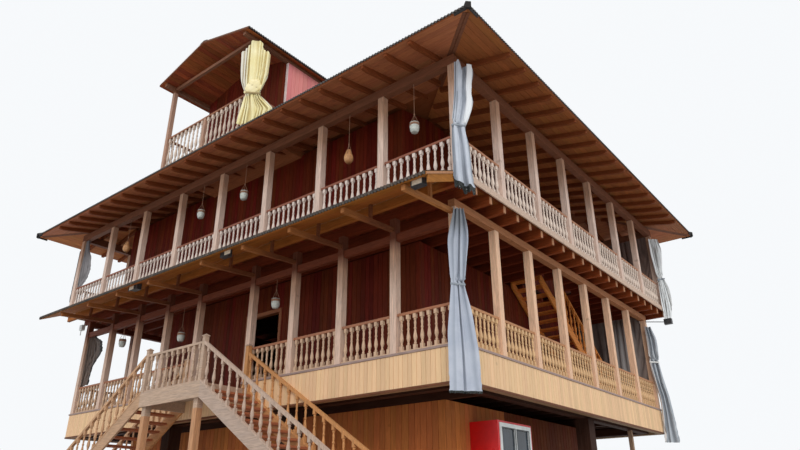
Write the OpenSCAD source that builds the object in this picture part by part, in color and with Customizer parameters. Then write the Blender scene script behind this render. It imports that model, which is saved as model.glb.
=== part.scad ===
// Two-storey timber stilt house with wrap-round galleries, hip roof and rooftop belvedere.
// Millimetres, Z up. Origin: centre of the plan at ground level. Front faces -Y, near side faces +X.

/* [Plan] */
// upper gallery post line, half length along X
up_x = 7200; // [6800:50:7600]
// upper gallery post line, half width along Y
up_y = 5600; // [5300:50:6000]
// lower gallery post line, half length along X
lo_x = 6760; // [6500:20:6800]
// lower gallery post line, half width along Y
lo_y = 5110; // [4900:10:5200]
// clear width of the wide stair bay between post centres
stair_bay = 2090; // [1900:10:2300]
// gallery post section
post = 150; // [120:5:180]
// right face of the room walls along X
core_r = 5050; // [4850:10:5150]
// left face of the lower room walls along X
lc_l = -4400; // [-4600:10:-4200]
// half width of the lower rooms along Y
lc_y = 3900; // [3700:10:4000]
// left face of the upper room walls along X
uc_l = -6250; // [-6300:10:-6050]
// half width of the upper rooms along Y
uc_y = 4500; // [4300:10:4600]

/* [Ground storey] */
// ground post line, half length along X
gp_x = 6400; // [6300:20:6440]
// inner ground posts along X
gp_in = 2200; // [1900:20:2600]
// ground post line, half width along Y
gp_y = 4730; // [4600:10:4780]
// ground post section
gp_s = 330; // [280:10:360]
// place of the side ground posts along Y
gp_side = 700; // [500:20:900]
// place of the slim rear side posts along Y
gp_rear = 3600; // [3200:20:4000]
// slim post section
gp_thin = 100; // [80:5:140]
// ground room, half length along X
gw_x = 5550; // [5300:10:5700]
// ground room, front face along Y
gw_y = 3850; // [3600:10:4000]
// booth front face along X
booth_x = 6200; // [6050:10:6220]
// booth height
booth_h = 2850; // [2500:10:2900]
// booth window sill height
win_z = 1380; // [1100:10:1500]

/* [Levels] */
// top of the lower gallery floor
lo_floor = 3720; // [3600:10:3900]
// underside of the front post-top beam
front_beam_z = 6140; // [6040:10:6240]
// top of the upper gallery floor
up_floor = 6920; // [6880:10:7000]
// underside of the eave plate
plate_z = 9300; // [9200:10:9400]
// lower railing height above its sill
lo_rail = 760; // [650:10:900]
// upper railing height above the floor
up_rail = 780; // [650:10:900]

/* [Floor] */
// depth of the pale board skirt
skirt_h = 640; // [560:10:700]
// thickness of the sill on the skirt
sill_t = 40; // [30:5:60]
// lower joist depth
lo_joist = 260; // [200:10:300]
// floor board thickness
deck_t = 60; // [40:5:80]
// upper joist depth
up_joist = 220; // [180:10:240]
// lighter edge board under the upper railing
edge_h = 130; // [100:10:160]

/* [Front ledge] */
// reach of the lean-to ledge beyond the upper posts
ledge_out = 1126; // [1000:2:1300]
// fall of the ledge per unit of reach
ledge_fall = 0.43; // [0.38:0.01:0.5]
// thickness of the ledge
ledge_t = 60; // [50:5:90]
// left end of the ledge along X
ledge_left = -6558; // [-6800:2:-6200]

/* [Roof] */
// eave overhang beyond the upper posts
eave = 1066; // [900:10:1200]
// roof rise per unit of run
pitch = 0.22; // [0.2:0.01:0.24]
// roof skin thickness
roof_t = 60; // [50:5:80]
// rafter depth
rafter = 120; // [100:5:140]
// rafter spacing
rafter_step = 600; // [500:20:800]
// reach of the blunt corner caps beyond the eaves
nose = 60; // [40:5:120]

/* [Belvedere] */
// left post line of the belvedere along X
bel_l = -1880; // [-2000:20:-1700]
// right post line of the belvedere along X
bel_r = 1620; // [1500:20:1800]
// deck level of the belvedere
bel_deck = 9760; // [9740:10:9800]
// height of the belvedere posts
bel_h = 2740; // [2500:10:2900]
// gable roof rise per unit of run
bel_pitch = 0.28; // [0.2:0.01:0.35]

/* [Stairs] */
// clear width of the outside flights
flight_w = 1060; // [900:10:1100]
// risers between the ground and the gallery
risers = 22; // [20:1:24]
// rise per unit of run of the outside flights
flight_slope = 0.64; // [0.6:0.01:0.7]
// stringer depth measured upright
stringer_h = 320; // [280:10:360]
// height of the sloping handrail above the stringer
hand_h = 860; // [800:10:900]

/* [Balusters] */
// square end of a baluster
bal_sq = 64; // [54:2:68]
// radius of the vase belly
bal_belly = 38; // [31:1:42]
// radius of the neck
bal_neck = 17; // [13:1:20]

/* [Hidden] */
SEAT = 0.3;
sill_z = lo_floor + 160;
skirt_z = sill_z - sill_t - skirt_h;
joist_z = lo_floor - deck_t - lo_joist;
girder_h = joist_z - skirt_z;
front_beam_h = 160;
up_joist_z = up_floor - deck_t - up_joist;
side_beam_h = 160;
side_beam_z = up_joist_z - side_beam_h;
deck_over = 80;
edge_t = 30;
edge_y = up_y + deck_over + edge_t;
edge_x = up_x + deck_over + edge_t;
up_bays_f = 8;
up_bays_s = 7;
up_step_f = 2 * up_x / up_bays_f;
up_step_s = 2 * up_y / up_bays_s;
lo_step_s = 2 * lo_y / up_bays_s;
lo_step_f = (2 * lo_x - stair_bay) / 8;
lo_front = [for (i = [0:4]) -lo_x + i * lo_step_f, for (i = [4:-1:0]) lo_x - i * lo_step_f];
lo_side = [for (i = [0:up_bays_s]) -lo_y + i * lo_step_s];
up_front = [for (i = [0:up_bays_f]) -up_x + i * up_step_f];
up_side = [for (i = [0:up_bays_s]) -up_y + i * up_step_s];
eave_z = plate_z + 120;
roof_hx = up_x + eave;
roof_hy = up_y + eave;
plate_top = eave_z + (eave - post / 2) * pitch - rafter;
rafter_rows_x = floor(up_x / rafter_step);
rafter_rows_y = floor(up_y / rafter_step);
ledge_z = up_floor - 80;
ledge_right = edge_x - 15;
cheek_h = 150;
hip_gap = 2;
nose_w = 50;
flash = 300;
cloth_t = 120;
core_t = 100;
lc_r = core_r;
uc_r = core_r;
gw_back = 2300;
gw_t = 120;
booth_y0 = -3025;
booth_y1 = -1650;
win_frame = 90;
well_x0 = core_r + 30;
well_x1 = well_x0 + 890;
well_y0 = 30;
well_y1 = 2400;
land_y0 = -lo_y - post / 2 - 10;
land_y1 = land_y0 - flight_w - 110;
land_x = 1120;
string_t = 50;
riser_h = lo_floor / risers;
going = riser_h / flight_slope;
lo_joist_rows = 8;
rail_w = 70;
rail_h = 50;
shoe_h = 40;
bel_f = -6300;
bel_b = -3400;
bel_wall = -5150;
bel_post = 110;
bel_over = 220;
bel_front_over = 400;
bel_rail = 1030;
bel_mid = (bel_l + bel_r) / 2;
bel_deck_t = 60;
bel_top = bel_deck + bel_h;
gs_x0 = core_r + 50;
gs_x1 = gs_x0 + 850;
gs_risers = 19;
gs_rise = (up_floor - lo_floor) / gs_risers;
gs_slope = 0.74;
gs_go = gs_rise / gs_slope;

// Helpers
module box(a, b) { translate(a) cube([b[0] - a[0], b[1] - a[1], b[2] - a[2]]); }

// prism with an outline in X and Z, reaching from y0 to y1
module prism_xz(pts, y0, y1) {
    translate([0, y1, 0]) rotate([90, 0, 0]) linear_extrude(y1 - y0) polygon(pts);
}

// prism with an outline in Y and Z, reaching from x0 to x1
module prism_yz(pts, x0, x1) {
    translate([x0, 0, 0]) rotate([90, 0, 90]) linear_extrude(x1 - x0) polygon(pts);
}

// square ring on plan between an outer and an inner rectangle
module ring(ox, oy, t, z, h) {
    difference() {
        box([-ox, -oy, z], [ox, oy, z + h]);
        box([-ox + t, -oy + t, z - 1], [ox - t, oy - t, z + h + 1]);
    }
}

// Turned baluster standing on z = 0, square at both ends with a vase between beads
module baluster(h) {
    sq = 0.13 * h;
    t = h - 2 * sq;
    translate([-bal_sq / 2, -bal_sq / 2, 0]) cube([bal_sq, bal_sq, sq]);
    translate([-bal_sq / 2, -bal_sq / 2, h - sq]) cube([bal_sq, bal_sq, sq]);
    translate([0, 0, sq]) rotate_extrude($fn = 20) polygon([[0, 0], [bal_neck + 3, 0],
        [bal_neck + 12, 0.05 * t], [bal_neck, 0.10 * t], [bal_belly, 0.25 * t],
        [bal_belly - 3, 0.34 * t], [bal_neck, 0.56 * t], [bal_neck + 12, 0.61 * t],
        [bal_neck, 0.66 * t], [bal_neck + 8, 0.83 * t], [bal_neck, 0.90 * t], [bal_neck + 12, 0.95 * t],
        [bal_neck + 3, t], [0, t]]);
}

// Railing panel along +X from the origin: top rail, shoe and turned balusters
module rail_panel(len, h, n) {
    translate([0, -rail_w / 2, h - rail_h]) cube([len, rail_w, rail_h]);
    translate([0, -bal_sq / 2, 0]) cube([len, bal_sq, shoe_h]);
    for (i = [0:n - 1])
        translate([(i + 0.5) * len / n, 0, shoe_h]) baluster(h - rail_h - shoe_h);
}

// Row of railing panels between the posts listed in xs, on a line parallel to X
module rail_row(xs, y, z, h, n, skip = -1) {
    for (i = [0:len(xs) - 2]) if (i != skip)
        translate([xs[i] + post / 2, y, z]) rail_panel(xs[i + 1] - xs[i] - post, h, n);
}

// Row of railing panels between the posts listed in ys, on a line parallel to Y
module rail_col(ys, x, z, h, n) {
    for (i = [0:len(ys) - 2])
        translate([x, ys[i] + post / 2, z]) rotate([0, 0, 90])
            rail_panel(ys[i + 1] - ys[i] - post, h, n);
}

module post_at(x, y, z0, z1) { box([x - post / 2, y - post / 2, z0], [x + post / 2, y + post / 2, z1]); }

// Ground storey
module ground_posts() {
    color([0.20, 0.13, 0.10]) {
        h = gp_s / 2;
        for (x = [-gp_in, gp_in], y = [-gp_y, gp_y])
            box([x - h, y - h, 0], [x + h, y + h, skirt_z]);
        for (x = [-gp_x, gp_x]) {
            box([x - h, gp_side - h, 0], [x + h, gp_side + h, skirt_z]);
            box([x - gp_thin / 2, gp_rear, 0], [x + gp_thin / 2, gp_rear + gp_thin, skirt_z]);
        }
    }
}

module ground_walls() {
    color([0.45, 0.22, 0.10]) difference() {
        box([-gw_x, -gw_y, 0], [gw_x, gw_back, skirt_z]);
        box([-gw_x + gw_t, -gw_y + gw_t, -1], [gw_x - gw_t, gw_back - gw_t, skirt_z + 1]);
        box([gw_x - gw_t - 1, booth_y0 + 60, win_z - 300], [gw_x + 1, booth_y1 - 60, booth_h - 100]);
    }
}

module booth() {
    color([0.75, 0.05, 0.06]) difference() {
        box([gw_x, booth_y0, 0], [booth_x, booth_y1, booth_h]);
        box([gw_x - 1, booth_y0 + 40, 40], [booth_x - 40, booth_y1 - 40, booth_h - 40]);
        box([booth_x - 41, booth_y0 + 60, win_z], [booth_x + 1, booth_y1 - 60, booth_h - 40]);
    }
}

module booth_window() {
    y0 = booth_y0 + 60;
    y1 = booth_y1 - 60;
    z1 = booth_h - 40;
    ym = (y0 + y1) / 2;
    color([0.9, 0.9, 0.88]) difference() {
        box([booth_x - 40, y0, win_z], [booth_x + 20, y1, z1]);
        for (s = [[y0 + win_frame, ym - 30], [ym + 30, y1 - win_frame]])
            box([booth_x - 41, s[0], win_z + win_frame], [booth_x + 21, s[1], z1 - win_frame]);
    }
}

module booth_glass() {
    y0 = booth_y0 + 60;
    y1 = booth_y1 - 60;
    ym = (y0 + y1) / 2;
    color([0.3, 0.35, 0.4]) for (s = [[y0 + win_frame, ym - 30], [ym + 30, y1 - win_frame]])
        box([booth_x - 20, s[0], win_z + win_frame], [booth_x - 12, s[1], booth_h - 40 - win_frame]);
}

// Lower floor
module lower_girders() {
    color([0.16, 0.10, 0.08]) {
        ring(gp_x + 100, gp_y + 100, 200, skirt_z, girder_h);
        for (y = [-gw_y, gw_back - gw_t])
            box([-gp_x + 100, y, skirt_z], [gp_x - 100, y + gw_t, joist_z]);
    }
}

module lower_joists() {
    color([0.18, 0.11, 0.08])
        for (i = [-lo_joist_rows:lo_joist_rows])
            translate([0, i * (lo_y - 230) / lo_joist_rows, 0])
                box([-lo_x + 100, -50, joist_z], [lo_x - 100, 50, joist_z + lo_joist]);
}

module lower_deck() {
    color([0.35, 0.2, 0.12])
        box([-lo_x + post / 2, -lo_y + post / 2, lo_floor - deck_t], [lo_x - post / 2, lo_y - post / 2, lo_floor]);
}

module lower_skirt() {
    color([0.86, 0.70, 0.50]) difference() {
        ring(lo_x + post / 2, lo_y + post / 2, post, skirt_z, skirt_h);
        box([-stair_bay / 2 + post / 2, -lo_y - post, lo_floor],
            [stair_bay / 2 - post / 2, -lo_y + post, sill_z]);
    }
}

module lower_sill() {
    color([0.62, 0.56, 0.56]) difference() {
        ring(lo_x + post / 2 + 25, lo_y + post / 2 + 25, post + 50, sill_z - sill_t, sill_t);
        box([-stair_bay / 2 + post / 2, -lo_y - 2 * post, sill_z - sill_t - 1],
            [stair_bay / 2 - post / 2, -lo_y + 2 * post, sill_z + 1]);
    }
}

module lower_posts() {
    color([0.72, 0.56, 0.46]) {
        for (i = [0:9], s = [-1, 1]) {
            top = (i == 0 || i == 9) ? side_beam_z : up_joist_z;
            post_at(lo_front[i], s * lo_y, sill_z, top);
        }
        for (i = [1:up_bays_s - 1], s = [-1, 1]) post_at(s * lo_x, lo_side[i], sill_z, side_beam_z);
    }
}

module lower_rail_front() {
    color([0.80, 0.66, 0.52]) rail_row(lo_front, -lo_y, sill_z, lo_rail, 8, skip = 4);
}

module lower_rail_back() {
    color([0.80, 0.66, 0.52]) rail_row(lo_front, lo_y, sill_z, lo_rail, 8);
}

module lower_rail_right() {
    color([0.85, 0.62, 0.36]) rail_col(lo_side, lo_x, sill_z, lo_rail, 9);
}

module lower_rail_left() {
    color([0.85, 0.62, 0.36]) rail_col(lo_side, -lo_x, sill_z, lo_rail, 9);
}

module lower_beams() {
    color([0.62, 0.42, 0.30]) {
        for (s = [-1, 1]) {
            for (i = [0:8])
                box([lo_front[i] + post / 2, s * lo_y - 50, front_beam_z],
                    [lo_front[i + 1] - post / 2, s * lo_y + 50, front_beam_z + front_beam_h]);
            box([s * lo_x - post / 2, -lo_y - post / 2, side_beam_z],
                [s * lo_x + post / 2, lo_y + post / 2, up_joist_z]);
        }
    }
}

module lower_core() {
    color([0.25, 0.11, 0.07]) difference() {
        box([lc_l, -lc_y, lo_floor], [lc_r, lc_y, up_joist_z]);
        box([lc_l + core_t, -lc_y + core_t, lo_floor - 1], [lc_r - core_t, lc_y - core_t, up_joist_z + 1]);
        box([-600, -lc_y - 1, lo_floor], [600, -lc_y + core_t + 1, lo_floor + 2150]);
    }
}

// Outside stair
module stair_landing() {
    color([0.62, 0.54, 0.47]) {
        box([-land_x, land_y1, lo_floor - 60], [land_x, land_y0, lo_floor]);
        box([-land_x, land_y1, lo_floor - stringer_h], [land_x, land_y1 + string_t, lo_floor - 60]);
        for (x = [-land_x, land_x - string_t])
            box([x, land_y1 + string_t, lo_floor - stringer_h], [x + string_t, land_y0, lo_floor - 60]);
        for (x = [-land_x + 80, land_x - 220])
            box([x, land_y1 + string_t, 0], [x + 140, land_y1 + string_t + 140, lo_floor - 60]);
    }
}

module landing_rail() {
    color([0.74, 0.62, 0.50]) {
        for (x = [-land_x + 50, land_x - 50])
            box([x - 50, land_y1, lo_floor], [x + 50, land_y1 + 100, lo_floor + 970]);
        translate([-land_x + 100, land_y1 + 50, lo_floor]) rail_panel(2 * land_x - 200, hand_h + 10, 10);
    }
}

// Straight flight going down along +X from the landing edge: stringers and open treads
module flight() {
    run = lo_floor / flight_slope;
    foot = (lo_floor - stringer_h) / flight_slope;
    for (y = [land_y1, land_y0 - string_t])
        prism_xz([[land_x, lo_floor], [land_x, lo_floor - stringer_h], [land_x + foot, 0],
            [land_x + run, 0]], y, y + string_t);
    for (i = [1:risers - 1])
        translate([land_x + (i - 1) * going + 10, land_y1 + string_t + SEAT, lo_floor - i * riser_h - 45])
            cube([going + 20, land_y0 - land_y1 - 2 * (string_t + SEAT), 45]);
}

// Sloping railing on one stringer, with a bottom newel
module flight_rail(y, newel_top) {
    run = lo_floor / flight_slope;
    n = risers - 2;
    z0 = lo_floor;
    x0 = land_x;
    prism_xz([[x0, z0 + hand_h], [x0, z0 + hand_h - 75], [x0 + run - 120, hand_h - 75 + 120 * flight_slope],
        [x0 + run - 120, hand_h + 120 * flight_slope]], y - rail_w / 2, y + rail_w / 2);
    prism_xz([[x0, z0 + shoe_h], [x0, z0], [x0 + run - 120, 120 * flight_slope],
        [x0 + run - 120, 120 * flight_slope + shoe_h]], y - bal_sq / 2, y + bal_sq / 2);
    for (i = [1:n]) {
        x = x0 + (i - 0.4) * going;
        zb = z0 - (x - x0) * flight_slope;
        translate([x, y, zb + shoe_h - 20]) baluster(hand_h - 75 - shoe_h + 40);
    }
    box([x0 + run - 120, y - 50, 0], [x0 + run - 20, y + 50, hand_h + 260]);
    if (newel_top > 0) box([x0, y - 50, z0], [x0 + 100, y + 50, z0 + newel_top]);
}

module right_flight() { color([0.62, 0.40, 0.28]) flight(); }

module left_flight() { color([0.62, 0.40, 0.28]) mirror([1, 0, 0]) flight(); }

module right_flight_rails() {
    color([0.78, 0.60, 0.42]) {
        flight_rail(land_y1 + string_t / 2, 0);
        flight_rail(land_y0 - string_t / 2, 940);
    }
}

module left_flight_rails() {
    color([0.78, 0.60, 0.42]) mirror([1, 0, 0]) {
        flight_rail(land_y1 + string_t / 2, 0);
        flight_rail(land_y0 - string_t / 2, 940);
    }
}

// Gallery stair rising towards -Y inside the near side gallery
module gallery_stair() {
    y_top = well_y0;
    run = (up_floor - lo_floor) / gs_slope;
    color([0.80, 0.45, 0.18]) {
        for (x = [gs_x0, gs_x1 - 45])
            prism_yz([[y_top, up_floor - 80], [y_top, up_floor - 340],
                [y_top + run - 340 / gs_slope, lo_floor], [y_top + run - 80 / gs_slope, lo_floor]], x, x + 45);
        for (i = [1:gs_risers - 1])
            translate([gs_x0 + 45 + SEAT, y_top + (i - 1) * gs_go + 10, up_floor - i * gs_rise - 40])
                cube([gs_x1 - gs_x0 - 90 - 2 * SEAT, gs_go + 15, 40]);
    }
}

module gallery_stair_rail() {
    run = (up_floor - lo_floor) / gs_slope;
    x = gs_x1 - 22;
    y0 = well_y0 + 700;
    y1 = well_y0 + run - 260;
    function line(y, h) = up_floor - 80 - (y - well_y0) * gs_slope + h;
    color([0.82, 0.50, 0.22]) {
        prism_yz([[y0, line(y0, 860)], [y0, line(y0, 800)], [y1, line(y1, 800)], [y1, line(y1, 860)]],
            x - 30, x + 30);
        prism_yz([[y0, line(y0, 30)], [y0, line(y0, 0)], [y1, line(y1, 0)], [y1, line(y1, 30)]],
            x - 22, x + 22);
        for (i = [1:13]) {
            y = y0 + i * (y1 - y0) / 14;
            translate([x, y, line(y, 15)]) baluster(800);
        }
        box([x - 40, y1 - 80, line(y1, 0) + 10], [x + 40, y1, line(y1, 940)]);
    }
}

// Upper floor
module upper_joists() {
    pitch_y = up_step_s / 3;
    color([0.42, 0.22, 0.13]) difference() {
        for (i = [0:3 * up_bays_s])
            translate([0, -up_y + i * pitch_y, 0])
                box([-up_x - 40, -45, up_joist_z], [up_x + 40, 45, up_joist_z + up_joist]);
        box([well_x0, well_y0, up_joist_z - 1], [well_x1, well_y1, up_floor]);
    }
}

module upper_deck() {
    color([0.35, 0.18, 0.11]) difference() {
        box([-up_x - deck_over, -up_y - deck_over, up_floor - deck_t], [up_x + deck_over, up_y + deck_over, up_floor]);
        box([well_x0, well_y0, up_floor - deck_t - 1], [well_x1, well_y1, up_floor + 1]);
    }
}

module upper_edge() {
    color([0.78, 0.62, 0.50]) ring(edge_x, edge_y, edge_t, up_floor - edge_h, edge_h);
}

function ledge_top(y) = ledge_z + (y + edge_y) * ledge_fall;

module ledge_body(x0, x1) {
    y1 = -up_y - ledge_out;
    prism_yz([[-edge_y, ledge_top(-edge_y)], [-edge_y, ledge_top(-edge_y) - ledge_t],
        [y1, ledge_top(y1) - ledge_t], [y1, ledge_top(y1)]], x0, x1);
}

module front_ledge() {
    y1 = -up_y - ledge_out;
    low = ledge_t + SEAT;
    color([0.5, 0.3, 0.14]) {
        ledge_body(ledge_left, ledge_right);
        prism_yz([[-edge_y, ledge_top(-edge_y) - low], [-edge_y, ledge_top(-edge_y) - low - cheek_h],
            [y1 + 60, ledge_top(y1 + 60) - low - cheek_h], [y1 + 60, ledge_top(y1 + 60) - low]],
            ledge_right - 30, ledge_right);
    }
}

// Outriggers from the front posts to the ledge, each with an upright prop
module ledge_brackets() {
    y0 = -lo_y - post / 2;
    y1 = -up_y - ledge_out + 60;
    z0 = front_beam_z + 250;
    y_prop = -edge_y - 130;
    drop = 0.07;
    color([0.62, 0.40, 0.22]) difference() {
        for (i = [1:9]) {
            prism_yz([[y0, z0 + 45], [y0, z0 - 45], [y1, z0 - 45 + (y1 - y0) * drop],
                [y1, z0 + 60 + (y1 - y0) * drop]], lo_front[i] - 40, lo_front[i] + 40);
            box([lo_front[i] - 30, y_prop - 60, z0 - 20], [lo_front[i] + 30, y_prop, up_floor]);
        }
        ledge_cut(-up_x, up_x);
    }
}

// everything above the underside of the ledge
module ledge_cut(x0, x1) {
    y1 = -up_y - ledge_out - 100;
    y2 = -edge_y + 400;
    prism_yz([[y2, ledge_top(y2) - ledge_t], [y1, ledge_top(y1) - ledge_t],
        [y1, up_floor + 200], [y2, up_floor + 200]], x0, x1);
}

// Upper gallery
module upper_posts() {
    color([0.74, 0.60, 0.52]) {
        for (x = up_front, s = [-1, 1]) post_at(x, s * up_y, up_floor, plate_z);
        for (i = [1:up_bays_s - 1], s = [-1, 1]) post_at(s * up_x, up_side[i], up_floor, plate_z);
    }
}

module upper_rail_front() {
    color([0.86, 0.78, 0.72]) rail_row(up_front, -up_y, up_floor, up_rail, 10);
}

module upper_rail_back() {
    color([0.86, 0.78, 0.72]) rail_row(up_front, up_y, up_floor, up_rail, 10);
}

module upper_rail_right() {
    color([0.86, 0.78, 0.72]) rail_col(up_side, up_x, up_floor, up_rail, 9);
}

module upper_rail_left() {
    color([0.86, 0.78, 0.72]) rail_col(up_side, -up_x, up_floor, up_rail, 9);
}

// walls of the upper rooms, cut to meet the underside of the rafters
module upper_core() {
    color([0.24, 0.09, 0.06]) intersection() {
        difference() {
            box([uc_l, -uc_y, up_floor], [uc_r, uc_y, 2 * up_floor]);
            box([uc_l + core_t, -uc_y + core_t, up_floor - 1], [uc_r - core_t, uc_y - core_t, 2 * up_floor + 1]);
            box([bel_l - 80 - SEAT, bel_f, bel_deck - bel_deck_t], [bel_r + 80 + SEAT, bel_b + 61, 2 * up_floor]);
        }
        under_hip(eave_z - rafter - SEAT);
    }
}

module eave_plates() {
    color([0.34, 0.17, 0.10]) ring(up_x + post / 2, up_y + post / 2, post, plate_z, plate_top - plate_z);
}

// Roof
function skin_low(d) = eave_z + d * pitch;

// profile of one rafter from the eave edge to the distance d
function rafter_line(r, d) = [[-r + 40, skin_low(40)], [-r + 40, skin_low(40) - rafter + 40],
    [-r + 200, skin_low(200) - rafter], [-r + d, skin_low(d) - rafter], [-r + d, skin_low(d)]];

// rafters run square to each eave and stop at the room walls or at the hip line
module rafters() {
    color([0.36, 0.17, 0.09]) difference() {
        rafter_rows();
        box([bel_l - 80, bel_f - 80, bel_deck - bel_deck_t], [bel_r + 80, bel_b + 60, 2 * up_floor]);
    }
}

module rafter_rows() {
    for (s = [-1, 1]) {
        for (i = [0:2 * rafter_rows_x - 1]) {
            x = (i - rafter_rows_x + 0.5) * rafter_step;
            d = min(roof_hy - uc_y + core_t, roof_hx - abs(x) - 50);
            scale([1, s, 1]) prism_yz(rafter_line(roof_hy, d), x - 35, x + 35);
        }
        for (i = [0:2 * rafter_rows_y - 1]) {
            y = (i - rafter_rows_y + 0.5) * rafter_step;
            wall = s > 0 ? -uc_l : uc_r;
            d = min(roof_hx - wall + core_t, roof_hy - abs(y) - 50);
            scale([s, 1, 1]) prism_xz(rafter_line(roof_hx, d), y - 35, y + 35);
        }
    }
}

// everything under a hip shape whose eave edge lies at height z
module under_hip(z) {
    intersection() {
        prism_yz([[-roof_hy, 0], [roof_hy, 0], [roof_hy, z], [0, z + roof_hy * pitch], [-roof_hy, z]],
            -roof_hx, roof_hx);
        prism_xz([[-roof_hx, 0], [roof_hx, 0], [roof_hx, z], [0, z + roof_hx * pitch], [-roof_hx, z]],
            -roof_hy, roof_hy);
    }
}

// one roof slope as an exact sloping slab, a trapezium or triangle on plan with a seam at each hip
module slope_front() {
    intersection() {
        prism_yz([[-roof_hy, eave_z], [-hip_gap, eave_z + (roof_hy - hip_gap) * pitch],
            [-hip_gap, eave_z + (roof_hy - hip_gap) * pitch + roof_t], [-roof_hy, eave_z + roof_t]],
            -roof_hx, roof_hx);
        linear_extrude(2 * up_floor) polygon([[-roof_hx + hip_gap, -roof_hy], [roof_hx - hip_gap, -roof_hy],
            [roof_hx - roof_hy - hip_gap, 0], [-roof_hx + roof_hy + hip_gap, 0]]);
    }
}

module slope_side() {
    intersection() {
        prism_xz([[roof_hx, eave_z], [roof_hx - roof_hy, eave_z + roof_hy * pitch],
            [roof_hx - roof_hy, eave_z + roof_hy * pitch + roof_t], [roof_hx, eave_z + roof_t]],
            -roof_hy, roof_hy);
        linear_extrude(2 * up_floor) polygon([[roof_hx, -roof_hy + hip_gap], [roof_hx, roof_hy - hip_gap],
            [roof_hx - roof_hy + hip_gap, 0]]);
    }
}

module hip_roof() {
    color([0.13, 0.12, 0.12]) difference() {
        union() {
            slope_front();
            mirror([0, 1, 0]) slope_front();
            slope_side();
            mirror([1, 0, 0]) slope_side();
        }
        box([bel_l - 80, bel_f, eave_z - 200], [bel_r + 80, bel_b + 60, 2 * up_floor]);
        for (x = [bel_l - 80 - SEAT, bel_r + 80])
            box([x, -roof_hy - 1, eave_z - 200], [x + SEAT, 0, 2 * up_floor]);
    }
}

// ridge capping, hip cappings that end in blunt noses, and flashing folded round each eave corner
module roof_caps() {
    top = eave_z + roof_t;
    len_h = roof_hy * sqrt(2);
    rise = roof_hy * pitch;
    out = nose * sqrt(2) - nose_w;
    color([0.10, 0.10, 0.10]) {
        translate([-roof_hx + roof_hy - 60, -90, top + rise + SEAT])
            cube([2 * (roof_hx - roof_hy) + 120, 180, 50]);
        for (sx = [-1, 1], sy = [-1, 1]) scale([sx, sy, 1])
            translate([roof_hx, roof_hy, 0]) {
                rotate([0, 0, 225]) prism_xz([[-out, top - 95], [-out, top + 45], [150, top + 90],
                    [len_h, top + rise + 50], [len_h, top + rise + SEAT], [0, top + SEAT],
                    [0, top - 110]], -nose_w, nose_w);
                box([-flash, SEAT, eave_z - 45], [0, 12, top + 12]);
                box([SEAT, -flash, eave_z - 45], [12, 12, top + 12]);
            }
    }
}

// Belvedere
module belvedere_deck() {
    low = bel_deck - bel_deck_t;
    color([0.45, 0.40, 0.38]) {
        box([bel_l - 80, bel_f - 80, low], [bel_r + 80, bel_b + 60, bel_deck]);
        difference() {
            for (x = [bel_l - 50, bel_mid - 50, bel_r - 50])
                box([x, bel_f - 80, eave_z], [x + 100, bel_f - SEAT, low - SEAT]);
            prism_yz([[-roof_hy - 10, eave_z - 400], [-roof_hy - 10, eave_z + roof_t - 10 * pitch],
                [bel_f + 10, eave_z + roof_t + (bel_f + 10 + roof_hy) * pitch], [bel_f + 10, eave_z - 400]],
                bel_l - 200, bel_r + 200);
        }
    }
}

module belvedere_frame() {
    color([0.60, 0.48, 0.42]) {
        for (x = [bel_l, bel_r]) {
            for (y = [bel_f, bel_b]) box([x - bel_post / 2, y - bel_post / 2, bel_deck],
                [x + bel_post / 2, y + bel_post / 2, bel_top - 100]);
            box([x - bel_post / 2, bel_f - bel_front_over + 60, bel_top - 100],
                [x + bel_post / 2, bel_b + 300, bel_top]);
        }
        box([bel_l + bel_post / 2, bel_f - 40, bel_top - 100], [bel_r - bel_post / 2, bel_f + 40, bel_top - 10]);
        box([bel_mid - 45, bel_f - 45, bel_deck], [bel_mid + 45, bel_f + 45, bel_deck + bel_rail - rail_h]);
    }
}

module belvedere_rail() {
    half = (bel_r - bel_l) / 2;
    color([0.82, 0.74, 0.68]) {
        translate([bel_l + bel_post / 2, bel_f - rail_w / 2, bel_deck + bel_rail - rail_h])
            cube([bel_r - bel_l - bel_post, rail_w, rail_h]);
        for (x = [bel_l + bel_post / 2, bel_mid + 45]) {
            len = half - bel_post / 2 - 45;
            translate([x, bel_f - bal_sq / 2, bel_deck]) cube([len, bal_sq, shoe_h]);
            for (i = [0:8]) translate([x + (i + 0.5) * len / 9, bel_f, bel_deck + shoe_h])
                baluster(bel_rail - rail_h - shoe_h);
        }
        for (x = [bel_l, bel_r]) {
            len = bel_wall - bel_f - bel_post / 2;
            translate([x, bel_f + bel_post / 2, bel_deck]) rotate([0, 0, 90]) rail_panel(len, bel_rail, 5);
        }
    }
}

// underside of the gable roof above x
function bel_under(x) = bel_top + SEAT
    + ((bel_r - bel_l + bel_post) / 2 - abs(x - bel_mid)) * bel_pitch;

module belvedere_roof() {
    half = (bel_r - bel_l) / 2 + bel_over;
    y0 = bel_f - bel_front_over;
    y1 = bel_b + 400;
    zs = bel_under(bel_mid - half);
    color([0.30, 0.15, 0.09])
        prism_xz([[bel_mid - half, zs], [bel_mid - half, zs + 60],
            [bel_mid, zs + 60 + half * bel_pitch], [bel_mid + half, zs + 60], [bel_mid + half, zs],
            [bel_mid, zs + half * bel_pitch]], y0, y1);
}

// rear room of the belvedere under the gable
module belvedere_walls() {
    x0 = bel_l + bel_post / 2;
    x1 = bel_r - bel_post / 2;
    gable = [[x0, bel_deck], [x1, bel_deck], [x1, bel_under(x1) - SEAT],
        [bel_mid, bel_under(bel_mid) - SEAT], [x0, bel_under(x0) - SEAT]];
    color([0.32, 0.08, 0.06]) {
        prism_xz(gable, bel_wall, bel_wall + 60);
        prism_xz(gable, bel_b - 30, bel_b + 30);
        box([bel_l - 30, bel_wall + 60, bel_deck], [bel_l + 30, bel_b - bel_post / 2, bel_top - 100]);
    }
}

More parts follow.
